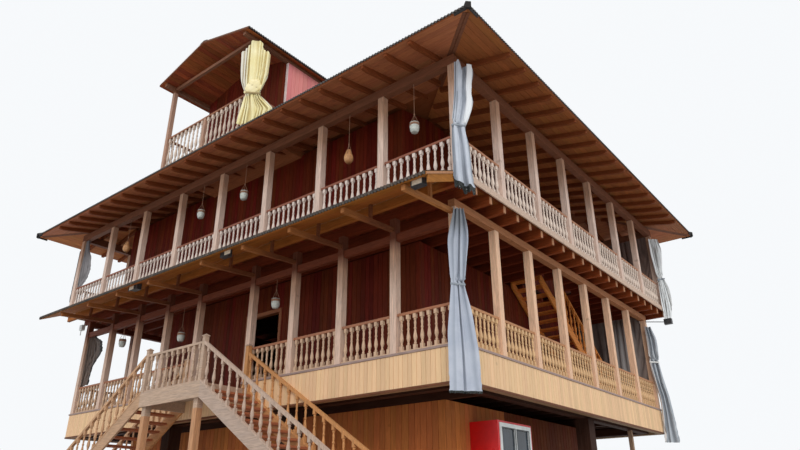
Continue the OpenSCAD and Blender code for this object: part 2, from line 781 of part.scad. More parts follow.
module belvedere_panel() {
    color([0.85, 0.45, 0.50])
        box([bel_r - 30, bel_wall, bel_deck], [bel_r + 30, bel_b - bel_post / 2, bel_top - 100]);
}

// Soft goods as plain closed bodies, with outlines as [distance from the post, height]
bel_cloth = [[-120, 12180], [-279, 11974], [-240, 11400], [-97, 10608], [-204, 9783], [600, 9830],
    [684, 10306], [308, 10700], [327, 11041], [443, 11311], [451, 12020], [230, 12316], [15, 12341]];
near_up = [[23, 9280], [-30, 8600], [-121, 7745], [-139, 7257], [-144, 6634], [-113, 6480], [279, 6355],
    [251, 6718], [219, 7438], [145, 7745], [352, 8418], [302, 8670], [388, 9092], [264, 9280]];
near_lo = [[-40, 6400], [-48, 6320], [-134, 6046], [-191, 5743], [-150, 4880], [-241, 4060], [-245, 3030],
    [314, 3030], [299, 3691], [216, 4430], [94, 4880], [210, 5760], [221, 6001], [146, 6400]];
far_up = [[-150, 9130], [-150, 8560], [-80, 8150], [-41, 7860], [-32, 7650], [-79, 7030], [-44, 6500],
    [158, 6500], [300, 7030], [285, 7560], [130, 7880], [180, 8200], [269, 8620], [300, 8870], [187, 9160]];
far_lo = [[-95, 6260], [-86, 5750], [-120, 5200], [-70, 4830], [60, 4250], [57, 3800], [-19, 2990],
    [415, 2990], [375, 3800], [345, 4250], [225, 4830], [178, 5200], [232, 5750], [244, 5930], [89, 6260]];

// cloth in a diagonal plane whose back touches the post arris at x, y
module cloth(x, y, t, outline) {
    translate([x, y, 0]) rotate([0, 0, 45]) prism_xz(outline, -t - SEAT, -SEAT);
}

module belvedere_curtain() {
    color([0.85, 0.80, 0.55]) cloth(bel_r + bel_post / 2, bel_f - bel_post / 2, cloth_t, bel_cloth);
}

// the pair of cloths on one rear corner, clear of the beams, sills and floor edges they hang past
module rear_cloths() {
    h = post / 2;
    difference() {
        cloth(up_x + h, up_y - h, cloth_t + 50, far_up);
        box([0, 0, up_floor - edge_h - 1], [edge_x + 1, edge_y + 1, up_floor + 1]);
        box([0, 0, 0], [up_x + h + SEAT, up_y + h, plate_z]);
    }
    difference() {
        cloth(lo_x + h, lo_y - h, cloth_t + 30, far_lo);
        box([0, 0, sill_z - sill_t - 1], [lo_x + h + 26, lo_y + h + 26, sill_z + 1]);
        box([0, 0, 0], [lo_x + h + SEAT, lo_y + h, plate_z]);
    }
}

module gallery_curtains() {
    h = post / 2;
    color([0.66, 0.72, 0.78]) {
        difference() {
            cloth(up_x + h, -up_y - h, cloth_t + 80, near_up);
            box([0, -edge_y - 1, up_floor - edge_h - 1], [edge_x + 1, 0, up_floor + 1]);
            box([0, -edge_y - ledge_out, 0], [edge_x + 1, -edge_y, ledge_z + 5]);
        }
        difference() {
            cloth(lo_x + h, -lo_y - h, cloth_t, near_lo);
            box([0, -lo_y - h - 26, sill_z - sill_t - 1], [lo_x + h + 26, 0, sill_z + 1]);
        }
        rear_cloths();
        mirror([1, 0, 0]) rear_cloths();
        prism_xz([[-lo_x + h, front_beam_z], [-lo_x + h, 4690], [-6250, 4690], [-6218, 5222], [-5736, 5628],
            [-5830, 5960], [-6330, front_beam_z]], -lo_y - 40, -lo_y + 40);
        prism_xz([[-up_x + h, plate_z], [-up_x + h, 7750], [-6900, 7750], [-6656, 7879], [-6486, 8237],
            [-6585, 8664], [-6836, 8933], [-6980, plate_z]], -up_y - 40, -up_y + 40);
        prism_yz([[-up_y - h, 9000], [-up_y - h, 7300], [-up_y + h, 7300], [-up_y + h, 9000]],
            -up_x - h - 90, -up_x - h);
        box([up_front[7] + h + 10, up_y - h - 60, up_floor + 60], [up_x - h + 30, up_y - h - SEAT, plate_z - SEAT]);
        difference() {
            box([lo_front[7] + h - 30, lo_y - h - 60, 3900], [lo_x - h + 30, lo_y - h - SEAT, up_joist_z - SEAT]);
            box([lo_x - h - SEAT, 0, side_beam_z - SEAT], [lo_x, lo_y, up_joist_z]);
        }
    }
}

// Jar lanterns and gourds on rods under the beams, each listed by bay, shift from mid-bay and height
up_jars = [[3, 38, 8310], [4, 0, 8310], [7, -69, 8130]];
up_gourds = [[1, 20, 8270], [6, -61, 8080]];
lo_jars = [[1, -23, 5560], [3, 107, 5260], [5, -53, 5450]];

module jar(x, y, z, top) {
    translate([x, y, z]) {
        rotate_extrude($fn = 32) polygon([[0, 0], [60, 0], [95, 40], [100, 120], [70, 190], [45, 215],
            [45, 240], [8, 250], [8, top - z], [0, top - z]]);
    }
}

module gourd(x, y, z, top) {
    translate([x, y, z]) {
        rotate_extrude($fn = 32) polygon([[0, 0], [70, 20], [105, 80], [95, 150], [50, 210], [30, 300],
            [12, 360], [8, 380], [8, top - z], [0, top - z]]);
    }
}

function mid_bay(line, i) = (line[i] + line[i + 1]) / 2;

module hanging_lanterns() {
    color([0.72, 0.66, 0.58]) {
        for (p = up_gourds) gourd(mid_bay(up_front, p[0]) + p[1], -up_y, p[2], plate_z);
        for (p = up_jars) jar(mid_bay(up_front, p[0]) + p[1], -up_y, p[2], plate_z);
        for (p = lo_jars) jar(mid_bay(lo_front, p[0]) + p[1], -lo_y, p[2], front_beam_z);
    }
}

// floodlight on a sloping arm at the far right post
arm_l = 600;
arm_z = side_beam_z - 30;

module floodlights() {
    y = -up_y - ledge_out + 190;
    z = ledge_top(y) - ledge_t;
    color([0.12, 0.12, 0.12]) difference() {
        for (x = [mid_bay(lo_front, 3) - 18, mid_bay(lo_front, 5), ledge_right - 290])
            translate([x, y, 0]) box([-130, -60, z - 150], [130, 60, up_floor]);
        ledge_cut(-up_x - 200, up_x + 200);
    }
    color([0.12, 0.12, 0.12]) translate([lo_x + post / 2, lo_y, arm_z]) {
        rotate([0, 100, 0]) cylinder(h = arm_l, r = 12, $fn = 24);
        translate([arm_l, 0, -110]) box([-50, -60, -75], [170, 60, 85]);
    }
}

ground_posts();
ground_walls();
booth();
booth_window();
booth_glass();
lower_girders();
lower_joists();
lower_deck();
lower_skirt();
lower_sill();
lower_posts();
lower_rail_front();
lower_rail_back();
lower_rail_right();
lower_rail_left();
lower_beams();
lower_core();
stair_landing();
landing_rail();
right_flight();
right_flight_rails();
left_flight();
left_flight_rails();
gallery_stair();
gallery_stair_rail();
upper_joists();
upper_deck();
upper_edge();
front_ledge();
ledge_brackets();
upper_posts();
upper_rail_front();
upper_rail_back();
upper_rail_right();
upper_rail_left();
upper_core();
eave_plates();
rafters();
hip_roof();
roof_caps();
belvedere_deck();
belvedere_frame();
belvedere_rail();
belvedere_roof();
belvedere_walls();
belvedere_panel();
belvedere_curtain();
gallery_curtains();
hanging_lanterns();
floodlights();
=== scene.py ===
import bpy
import math
import random
import numpy as np
from mathutils import Matrix, Vector as V


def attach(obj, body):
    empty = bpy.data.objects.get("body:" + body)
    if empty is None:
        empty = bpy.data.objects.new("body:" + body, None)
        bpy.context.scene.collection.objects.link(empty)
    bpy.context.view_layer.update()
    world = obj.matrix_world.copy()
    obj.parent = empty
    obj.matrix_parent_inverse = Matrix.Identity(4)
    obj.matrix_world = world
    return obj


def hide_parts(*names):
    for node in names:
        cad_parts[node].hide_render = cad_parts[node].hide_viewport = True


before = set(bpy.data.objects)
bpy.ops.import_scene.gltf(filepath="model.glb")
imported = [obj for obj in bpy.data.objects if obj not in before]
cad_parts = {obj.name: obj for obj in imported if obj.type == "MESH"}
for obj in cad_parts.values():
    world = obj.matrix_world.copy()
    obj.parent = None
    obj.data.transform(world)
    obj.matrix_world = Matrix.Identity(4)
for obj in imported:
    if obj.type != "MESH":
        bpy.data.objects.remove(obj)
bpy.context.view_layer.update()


# colour and materials
def rgb(code):
    """A display colour written as six hex digits, as linear values."""
    shares = (int(code[i:i + 2], 16) / 255 for i in (0, 2, 4))
    return tuple(c / 12.92 if c <= 0.04045 else ((c + 0.055) / 1.055) ** 2.4 for c in shares) + (1,)


def darker(colour, share):
    return tuple(c * share for c in colour[:3]) + (1,)


class Tree:
    """Small helper to write node trees in few lines."""

    def __init__(self, name):
        self.mat = bpy.data.materials.new(name)
        self.mat.use_nodes = True
        self.t = self.mat.node_tree
        self.t.nodes.clear()
        self.out = self.t.nodes.new("ShaderNodeOutputMaterial")
        self.bsdf = self.t.nodes.new("ShaderNodeBsdfPrincipled")
        self.t.links.new(self.bsdf.outputs[0], self.out.inputs[0])

    def node(self, kind, **props):
        n = self.t.nodes.new("ShaderNode" + kind)
        ins = props.pop("ins", {})
        for k, v in props.items():
            setattr(n, k, v)
        for k, v in ins.items():
            self.put(n.inputs[k], v)
        return n

    def put(self, socket, value):
        if isinstance(value, bpy.types.NodeSocket):
            self.t.links.new(value, socket)
        else:
            socket.default_value = value

    def fixed(self, **values):
        """Values of the shader's own sockets, the same all over the surface."""
        for name, value in values.items():
            self.bsdf.inputs[name.replace("_", " ")].default_value = value

    def math(self, op, a, b=0.0):
        return self.node("Math", operation=op, ins={0: a, 1: b}).outputs[0]

    def mix(self, fac, a, b):
        return self.node("Mix", data_type="RGBA", ins={0: fac, 6: a, 7: b}).outputs[2]

    def noise(self, vec, scale, detail=3.0, rough=0.55, dist=0.0):
        ins = {"Vector": vec, "Scale": scale, "Detail": detail, "Roughness": rough, "Distortion": dist}
        return self.node("TexNoise", ins=ins).outputs[0]

    def ramp(self, fac, lo, hi):
        return self.node("MapRange", clamp=True, ins={0: fac, 1: lo, 2: hi}).outputs[0]

    def inverse(self, fac):
        return self.math("SUBTRACT", 1.0, fac)

    def remap(self, fac, lo, hi, to_lo, to_hi):
        return self.node("MapRange", ins={0: fac, 1: lo, 2: hi, 3: to_lo, 4: to_hi}).outputs[0]

    def scaled(self, vec, s):
        return self.node("Mapping", ins={0: vec, 3: s}).outputs[0]

    def finish(self, color, rough, height, strength, dist):
        self.put(self.bsdf.inputs["Base Color"], color)
        self.put(self.bsdf.inputs["Roughness"], rough)
        bump = self.node("Bump", ins={"Strength": strength, "Distance": dist, "Height": height})
        self.put(self.bsdf.inputs["Normal"], bump.outputs[0])
        return self.mat


GRAIN = {"x": (1.1, 16, 16), "y": (16, 1.1, 16), "z": (16, 16, 1.1)}


def wood(name, base, worn, grain, tint=False, wear=0.35, dark=0.55, rough=0.62, bands=(), knots=True,
         spec=0.3, vary=1.0):
    """Sawn timber: long grain, blotches of weathering, dark checks and knots.

    A band gives other colours beyond a plane: (side, place, fresh colour, worn colour, grain, softness)."""
    m = Tree(name)
    m.fixed(Specular_IOR_Level=spec)
    pos = m.node("TexCoord").outputs["Object"]
    vec = pos
    if tint:
        att = m.node("Attribute", attribute_name="tint").outputs["Color"]
        ins = {0: att, 1: (9.0, 7.0, 5.0), 2: pos}
        vec = m.node("VectorMath", operation="MULTIPLY_ADD", ins=ins).outputs[0]

    def tone(fresh, grey, axis):
        fresh, grey = rgb(fresh), rgb(grey)
        along_grain = m.scaled(vec, GRAIN[axis])
        fine = m.noise(along_grain, 3.2, 6.0, 0.65, 0.4)
        streak = m.noise(along_grain, 0.9, 3.0, 0.6, 0.8)
        blot = m.noise(vec, 1.3, 3.0, 0.6)
        c = m.mix(m.ramp(fine, 0.30, 0.62), darker(fresh, dark), fresh)
        c = m.mix(m.math("MULTIPLY", m.ramp(streak, 0.45, 0.72), wear), c, grey)
        return m.mix(m.math("MULTIPLY", m.ramp(blot, 0.48, 0.75), wear * 0.7), c, grey), fine

    color, fine = tone(base, worn, grain)
    for side, place, fresh, grey, axis, *soft in bands:
        sign = 1 if side[0] == "+" else -1
        normal = tuple(sign if q == side[1] else 0 for q in "xyz")
        d = m.node("VectorMath", operation="DOT_PRODUCT", ins={0: pos, 1: normal}).outputs["Value"]
        color_2, fine_2 = tone(fresh, grey, axis)
        edge = place * sign
        mask = m.ramp(d, edge - soft[0], edge + soft[0]) if soft else m.math("GREATER_THAN", d, edge)
        color = m.mix(mask, color, color_2)
        fine = m.math("ADD", m.math("MULTIPLY", fine, m.inverse(mask)), m.math("MULTIPLY", fine_2, mask))
    if tint:
        sep = m.node("SeparateColor", ins={0: att})
        spread = ((0, 0.42 * vary, 0.97 - 0.21 * vary), (1, 0.02 * vary, 0.50 - 0.01 * vary))
        value, hue = (m.node("Math", operation="MULTIPLY_ADD", ins={0: sep.outputs[i], 1: a, 2: b}).outputs[0]
                      for i, a, b in spread)
        ins = {"Color": color, "Value": value, "Hue": hue}
        color = m.node("HueSaturation", ins=ins).outputs[0]
    if knots:
        squash = tuple(0.25 if s < 2 else 0.12 for s in GRAIN[grain])
        cell = m.node("TexVoronoi", ins={"Vector": m.scaled(vec, squash), "Scale": 9.0}).outputs["Distance"]
        knot_mask = m.math("MULTIPLY", m.inverse(m.ramp(cell, 0.05, 0.10)), 0.35)
        color = m.mix(knot_mask, color, darker(rgb(base), 0.35))
    return m.finish(color, m.remap(fine, 0.2, 0.8, rough + 0.16, rough - 0.10), fine, 0.45, 0.004)


def plain(name, base, other, scale, rough, spread, bump, dist, metal=0.0, streak=None, spec=0.5):
    """Painted or moulded surface: cloudy tone, fine speckle and slight unevenness."""
    m = Tree(name)
    m.fixed(Metallic=metal, Specular_IOR_Level=spec)
    pos = m.node("TexCoord").outputs["Object"]
    cloud = m.noise(pos, scale, 4.0, 0.6, 0.2)
    speck = m.noise(pos, scale * 22, 2.0, 0.6)
    c = m.mix(m.ramp(cloud, 0.38, 0.70), rgb(base), rgb(other))
    if streak:
        run = m.noise(m.scaled(pos, (9, 9, 0.7)), 2.0, 4.0, 0.6)
        c = m.mix(m.math("MULTIPLY", m.ramp(run, 0.52, 0.78), 0.55), c, rgb(streak))
    height = m.math("ADD", m.math("MULTIPLY", cloud, 0.7), m.math("MULTIPLY", speck, 0.3))
    return m.finish(c, m.remap(cloud, 0.3, 0.7, rough - spread, rough + spread), height, bump, dist)


def fabric(name, base, shade, fold_shade=None, marks=()):
    """Woven curtain cloth: crossed threads, soft cloudy tone and painted shade deep in the folds.

    Marks are patches of other colours on the flat cloth, in metres: (colour, u0, u1, v0, v1, softness)."""
    threads = 260.0
    m = Tree(name)
    uv = m.node("TexCoord").outputs["UV"]
    warp, weft = (m.node("TexWave", wave_type="BANDS", bands_direction=q,
                         ins={"Vector": uv, "Scale": threads, "Distortion": 0.6}).outputs[1] for q in "XY")
    weave = m.math("MULTIPLY", warp, weft)
    cloud = m.noise(m.node("TexCoord").outputs["Object"], 2.2, 4.0, 0.6)
    c = m.mix(m.ramp(cloud, 0.35, 0.70), rgb(base), rgb(shade))
    if marks:
        place = m.node("SeparateXYZ", ins={0: uv})
        for colour, u0, u1, v0, v1, soft in marks:
            inside = 1.0
            for at, lo, hi in ((place.outputs[0], u0, u1), (place.outputs[1], v0, v1)):
                past, before = m.ramp(at, lo - soft, lo + soft), m.inverse(m.ramp(at, hi - soft, hi + soft))
                inside = m.math("MULTIPLY", inside, m.math("MULTIPLY", past, before))
            c = m.mix(inside, c, rgb(colour))
    # painted shade: the cloth is darker in the troughs of its folds, read from each vertex's crest depth
    if fold_shade:
        colour, lo, hi = fold_shade
        tint = m.node("Attribute", attribute_name="tint").outputs["Color"]
        depth = m.node("SeparateColor", ins={0: tint}).outputs[0]
        c = m.mix(m.math("MULTIPLY", m.inverse(m.ramp(depth, lo, hi)), 0.85), c, rgb(colour))
    c = m.mix(m.math("MULTIPLY", weave, 0.10), c, darker(rgb(shade), 0.6))
    m.fixed(Sheen_Weight=0.25, Sheen_Roughness=0.5)
    return m.finish(c, 0.85, weave, 0.25, 0.001)


def lace():
    """Dark net edging with white thread knots."""
    m = Tree("hem_lace")
    uv = m.node("TexCoord").outputs["UV"]
    net = m.node("TexVoronoi", feature="DISTANCE_TO_EDGE", ins={"Vector": uv, "Scale": 26.0}).outputs[0]
    c = m.mix(m.ramp(net, 0.008, 0.03), rgb("5c625e"), rgb("0a0e0e"))
    c = m.mix(m.ramp(m.noise(uv, 9.0, 3.0, 0.6), 0.64, 0.68), c, rgb("d6dcdc"))
    return m.finish(c, 0.8, net, 0.4, 0.002)


# looks, by the short name used below; colours are the fresh and the worn one
# behind the front string of an outside flight come its treads, then its rear string
STEP_COLOURS = [("+y", -6.3148, "bc704a", "96644c", "y"), ("+y", -5.2452, "d0945e", "b07e54", "x")]
M = {
    # upper posts: browner above z 8.55, a painted shade under the eaves; paler below
    "post": wood("weathered_post", "d0a284", "a68674", "z",
        bands=[("-z", 8.55, "eccebc", "c4b0a6", "z", 0.4)]),
    # lower posts: dark red-brown above z 6.05, a painted shade under the floor above; the paler steps lower
    # down stand for more light, and the paler corner posts beyond x 6.6 are painted light on the open right
    # side
    "post_lo": wood("lower_post_with_painted_shade", "743e28", "5a3426", "z",
        bands=[("-z", 6.05, "d4a688", "a88876", "z", 0.16), ("-z", 5.5, "eeccb6", "c4ac9e", "z", 0.4),
        ("+x", 6.6, "f8caa6", "d2ac94", "z")]),
    "rail_up": wood("upper_rail_wood", "ead8cc", "b8a69e", "z", wear=0.3, dark=0.74,
        bands=[("+z", 7.645, "965c46", "7c5444", "x")]),
    "rail_up_side": wood("upper_side_rail_wood", "eedaca", "bca89c", "z", wear=0.3, dark=0.74,
        bands=[("+z", 7.645, "b47e5e", "8c6450", "y")]),
    "rail_lo": wood("lower_rail_wood", "e0bc9c", "a89080", "z", wear=0.4, dark=0.65,
        bands=[("+z", 4.585, "b47858", "886454", "x")]),
    "rail_lo_side": wood("lower_side_rail_wood", "e4ba8a", "c09a76", "z", wear=0.3, dark=0.66,
        bands=[("+z", 4.585, "be865c", "926c54", "y")]),
    "dark": wood("dark_timber", "422418", "543c30", "x", wear=0.4, spec=0.1),
    "slim": wood("ground_post_wood", "3c241a", "543e34", "z", wear=0.4,
        bands=[("+y", 3.5, "be9c80", "967c6a", "z")], spec=0.1),
    "core": wood("dark_red_wall", "762a16", "542113", "z", tint=True, wear=0.4, rough=0.5, spec=0.1),
    "core_back": wood("wall_back", "32140c", "28140e", "z", spec=0.1),
    "room": wood("room_side_board", "965c3c", "744c36", "z", spec=0.1),
    "roof_under": wood("roof_underside_board", "965430", "744428", "x", spec=0.1),
    # joists: the dark red base is partly the wood and partly a painted shade under the floor; the front ends
    # beyond y -5.5 and the right ends beyond x 6.86 are painted lighter where daylight reaches them
    "joist": wood("joist_wood", "7a321a", "602a18", "x", wear=0.4,
        bands=[("-y", -5.5, "b87032", "905a2e", "x", 0.2), ("+x", 6.86, "974a25", "723a20", "x", 0.12)],
        spec=0.1),
    "plate": wood("eave_plate_wood", "845036", "6a4432", "x", wear=0.4),
    "joist_y": wood("rafter_wood", "8c4a28", "6a3a22", "y", wear=0.4, spec=0.1),
    "soffit": wood("soffit_board", "bc7249", "965c3e", "x", tint=True, wear=0.4, dark=0.66, vary=0.45),
    # side soffit boards: paler everywhere but on the right eave beyond x 7.1, painted light on the boards
    # deep under the roof
    "soffit_y": wood("soffit_board_cross", "a66232", "824e2a", "y", tint=True, wear=0.4, dark=0.66,
        vary=0.45, bands=[("-x", 7.1, "c67a44", "9e623a", "y", 0.12)]),
    # upper floor underside: the dark red base is partly the wood and partly a painted shade under the floor;
    # the front edge beyond y -5.45 and the right edge beyond x 6.86 are painted lighter where daylight
    # reaches them
    "under": wood("floor_underside", "743019", "582816", "y", tint=True, wear=0.4, spec=0.1,
        bands=[("-y", -5.45, "be7634", "965e2e", "y", 0.2), ("+x", 6.86, "8e4a24", "6e3a20", "y", 0.15)]),
    "under_lo": wood("lower_floor_underside", "544038", "423430", "y", tint=True, wear=0.4, spec=0.1),
    "floor": wood("floor_board", "966242", "806450", "x", tint=True, wear=0.5),
    "ledge": wood("ledge_board", "b06b2f", "8c552a", "x", tint=True, wear=0.35, dark=0.74, vary=0.5,
        spec=0.1),
    "ledge_end": wood("ledge_end_board", "ac7034", "80542e", "y", wear=0.3, spec=0.1),
    "bracket": wood("bracket_wood", "844c2c", "68402a", "y",
        bands=[("-y", -6.1, "a86834", "84542e", "y", 0.2), ("+x", 5.6, "be7c44", "94623c", "y")]),
    "beam": wood("beam_wood", "7a3a20", "60301e", "x", bands=[("+x", 6.68, "b87a50", "8e6044", "y")]),
    "edge": wood("edge_board_wood", "dcbea8", "ac9486", "x"),
    "skirt": wood("skirt_board_wood", "eec69a", "dab48a", "z", tint=True, wear=0.3, dark=0.88, vary=0.45),
    "skirt_back": wood("skirt_back", "a88460", "886c52", "z"),
    "sill": wood("sill_wood", "ac928a", "92807c", "x", wear=0.5),
    # ground walls: darker beyond y -1.62, a painted shade deep under the floor above
    "ground": wood("ground_wall_board", "ce7a42", "a86238", "z", tint=True, wear=0.4, dark=0.68, vary=0.55,
        bands=[("+y", -1.62, "6c3216", "4e2615", "z")], spec=0.1),
    "ground_back": wood("ground_wall_back", "783c1e", "542c1a", "z", spec=0.1),
    "stair": wood("stair_wood", "c8aa92", "a49082", "x", wear=0.5,
        bands=[("-z", 3.2, "cc966c", "a87e62", "z")]),
    "flight": wood("flight_wood", "c2a896", "a08e84", "x", wear=0.5, bands=STEP_COLOURS),
    "flight_west": wood("left_flight_wood", "c69e7c", "a0826c", "x", wear=0.5, bands=STEP_COLOURS),
    "flight_rail": wood("flight_rail_wood", "c8ac98", "a08c80", "z", wear=0.45,
        bands=[("+y", -5.6, "da9c62", "ba865a", "z")]),
    "flight_left": wood("left_flight_rail_wood", "cea078", "a08068", "z", wear=0.45),
    "tread": wood("tread_wood", "b06c48", "926852", "y", wear=0.5),
    "orange": wood("orange_wood", "e89042", "ca7a3a", "y", wear=0.2),
    "bel": wood("belvedere_wood", "be947c", "987c6e", "z", bands=[("+z", 12.33, "8c5c42", "704e3c", "x")]),
    "bel_rail": wood("belvedere_rail_wood", "e0cab8", "b09c90", "z",
        bands=[("+z", 10.73, "9e684a", "7c5644", "x")]),
    "bel_soffit": wood("belvedere_soffit", "a8562c", "7c4226", "y", tint=True),
    "bel_wall": wood("belvedere_wall_board", "742c18", "5a2416", "z", tint=True, spec=0.1),
    "pink": wood("pink_painted_board", "e68c88", "cc7874", "z", tint=True, wear=0.3, dark=0.88, vary=0.4,
        knots=False),
    "bel_deck": wood("belvedere_deck_wood", "785440", "604a3c", "x"),
    "roof": plain("roof_metal", "2c2a2a", "464240", 3.0, 0.42, 0.12, 0.2, 0.002, 0.6, streak="604e42"),
    "red": plain("red_paint", "e21014", "c40c10", 2.5, 0.35, 0.08, 0.08, 0.001),
    "white": plain("white_frame_paint", "e8eae8", "d2d6d6", 6.0, 0.4, 0.08, 0.08, 0.001),
    "cap": plain("ridge_cap_metal", "222020", "34302e", 3.0, 0.75, 0.1, 0.2, 0.002, 0.1, spec=0.15),
    "pot": plain("white_glazed_pot", "d8dad2", "b0b6ae", 16.0, 0.4, 0.1, 0.3, 0.002),
    "gourd": plain("dried_gourd", "ce9864", "a47046", 12.0, 0.55, 0.1, 0.35, 0.003),
    "jute": plain("jute_hanger", "a0765c", "7e5c4a", 60.0, 0.85, 0.05, 0.5, 0.001),
    "clay": plain("lantern_clay", "ceb896", "a08464", 14.0, 0.7, 0.1, 0.4, 0.004),
    "pale_end": wood("pale_end_grain", "b8825c", "926a50", "z", knots=False),
    "strip": wood("dark_strip_wood", "76462c", "5a3c2a", "x"),
    "trim": wood("pale_trim_wood", "ecd6d0", "ceb4ae", "z", knots=False),
    "core_lo": wood("lower_room_wall", "762e1a", "562418", "z", tint=True, wear=0.4, rough=0.5, spec=0.1),
    "ledge_sheet": plain("ledge_sheet_metal", "2c2622", "4a3e34", 3.0, 0.5, 0.12, 0.2, 0.002, 0.4,
        streak="78604e"),
    "lamp": plain("lamp_case_paint", "2e2e30", "464648", 12.0, 0.45, 0.1, 0.1, 0.001),
    "lens": plain("lamp_lens", "f8ecd6", "e2d4be", 30.0, 0.2, 0.05, 0.1, 0.001),
    "glass": plain("window_glass", "222a32", "303a44", 2.0, 0.08, 0.03, 0.02, 0.001, spec=0.55),
    "gasket": plain("window_gasket", "3c3e40", "4e5052", 20.0, 0.6, 0.1, 0.1, 0.001),
    "cloth": fabric("curtain_cloth", "babfca", "a4abba", fold_shade=("88909c", 0.0, 0.7),
        marks=[("92969c", -1, 2, -1, 0.42, 0.14)]),
    "cloth_up": fabric("upper_curtain_cloth", "c8cdd6", "aeb5c1", fold_shade=("606670", 0.0, 0.3),
        marks=[("2e3438", 0.03, 0.05, -1, 9, 0.008), ("f0f2f4", 0.5, 2, -1, 1.42, 0.03),
        ("2e3036", 0.105, 0.118, 0.7, 2.5, 0.004)]),
    "cloth_fold": fabric("far_curtain_cloth", "eceeee", "d4d7d8", fold_shade=("706c68", 0.02, 0.4)),
    "cloth_far": fabric("far_lower_curtain_cloth", "b0b6bc", "989ea6", fold_shade=("70747a", 0.0, 0.5),
        marks=[("d6d0cc", -1, 0.1, -1, 9, 0.01), ("343030", 0.12, 0.17, -1, 9, 0.012)]),
    "cloth_dark": fabric("grey_brown_curtain_cloth", "705e54", "564840", fold_shade=("2c2420", 0.0, 0.5),
        marks=[("161414", 0.94, 3.0, -1, 9, 0.02)]),
    "cloth_grey": fabric("light_grey_curtain_cloth", "928e90", "787476", fold_shade=("524e4e", 0.0, 0.5)),
    "hanging": fabric("brown_hanging_cloth", "7a6258", "5c4c46"),
    "hanging_lo": fabric("grey_hanging_cloth", "807068", "665a54",
        marks=[("a6a2a0", 1.9, 2.62, 0.3, 9, 0.22)]),
    "tie": fabric("curtain_tie_cloth", "969ca4", "707680"),
    "yellow_knot": fabric("yellow_knot_cloth", "f4e8be", "e8d496", fold_shade=("846c3e", 0.05, 0.5)),
    "tie_pale": fabric("pale_tie_cloth", "e2e0dc", "bebebc"),
    "lace": lace(),
    "yellow": fabric("yellow_curtain_cloth", "f6ecbe", "eada98", fold_shade=("b29a60", 0.0, 0.5),
        marks=[("e0dacc", -1, 0.34, -1, 1.5, 0.06), ("f4eed6", 1.46, 3, -1, 9, 0.02)]),
}

CAD_LOOKS = {
    "slim": "ground_posts", "ground_back": "ground_walls", "red": "booth", "white": "booth_window",
    "glass": "booth_glass", "dark": "lower_girders lower_joists", "under_lo": "lower_deck",
    "skirt_back": "lower_skirt", "sill": "lower_sill", "post_lo": "lower_posts",
    "rail_lo": "lower_rail_front lower_rail_back", "rail_lo_side": "lower_rail_right lower_rail_left",
    "beam": "lower_beams", "room": "lower_core upper_core", "stair": "stair_landing landing_rail",
    "flight": "right_flight", "flight_rail": "right_flight_rails", "flight_west": "left_flight",
    "flight_left": "left_flight_rails", "orange": "gallery_stair gallery_stair_rail",
    "joist": "upper_joists", "core_back": "upper_deck belvedere_roof belvedere_walls belvedere_panel",
    "edge": "upper_edge", "ledge_end": "front_ledge", "bracket": "ledge_brackets", "post": "upper_posts",
    "rail_up": "upper_rail_front upper_rail_back", "rail_up_side": "upper_rail_right upper_rail_left",
    "plate": "eave_plates", "joist_y": "rafters", "roof_under": "hip_roof", "cap": "roof_caps",
    "bel_deck": "belvedere_deck", "bel": "belvedere_frame", "bel_rail": "belvedere_rail",
    "clay": "hanging_lanterns", "lamp": "floodlights", "yellow": "belvedere_curtain",
    "cloth": "gallery_curtains",
}


def dress_cad():
    """Looks of the CAD nodes."""
    for look, nodes in CAD_LOOKS.items():
        for node in nodes.split():
            slots = bpy.data.objects[node].data.materials
            if not len(slots):
                slots.append(M[look])
            for i in range(len(slots)):
                slots[i] = M[look]


# meshes
def add_mesh(name, verts, faces, look, smooth=False):
    """A new mesh object in one look."""
    me = bpy.data.meshes.new(name)
    me.from_pydata([tuple(v) for v in verts], [], faces)
    me.polygons.foreach_set("use_smooth", [smooth] * len(me.polygons))
    me.update()
    me.materials.append(M[look])
    ob = bpy.data.objects.new(name, me)
    bpy.context.scene.collection.objects.link(ob)
    return ob


def add_piece(name, verts, faces, look, smooth=False):
    ob = add_mesh(name, verts, faces, look, smooth)
    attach(ob, "root")
    return ob


def add_tint(ob, colours):
    """One colour for each vertex, which the looks read."""
    layer = ob.data.attributes.new("tint", "FLOAT_COLOR", "POINT")
    layer.data.foreach_set("color", np.asarray(colours, np.float32).ravel())


def grey(values):
    return np.repeat(values.ravel()[:, None], 4, 1)


def add_flat_map(ob, flat):
    """UV in metres on the flat cloth; flat gives both measures for an array of vertex numbers."""
    me = ob.data
    index = np.empty(len(me.loops), np.int32)
    me.loops.foreach_get("vertex_index", index)
    layer = me.uv_layers.new(name="flat")
    layer.data.foreach_set("uv", np.stack(flat(index), 1).astype(np.float32).ravel())


def read_points(me):
    co = np.empty(len(me.vertices) * 3, np.float32)
    me.vertices.foreach_get("co", co)
    return co.reshape(-1, 3)


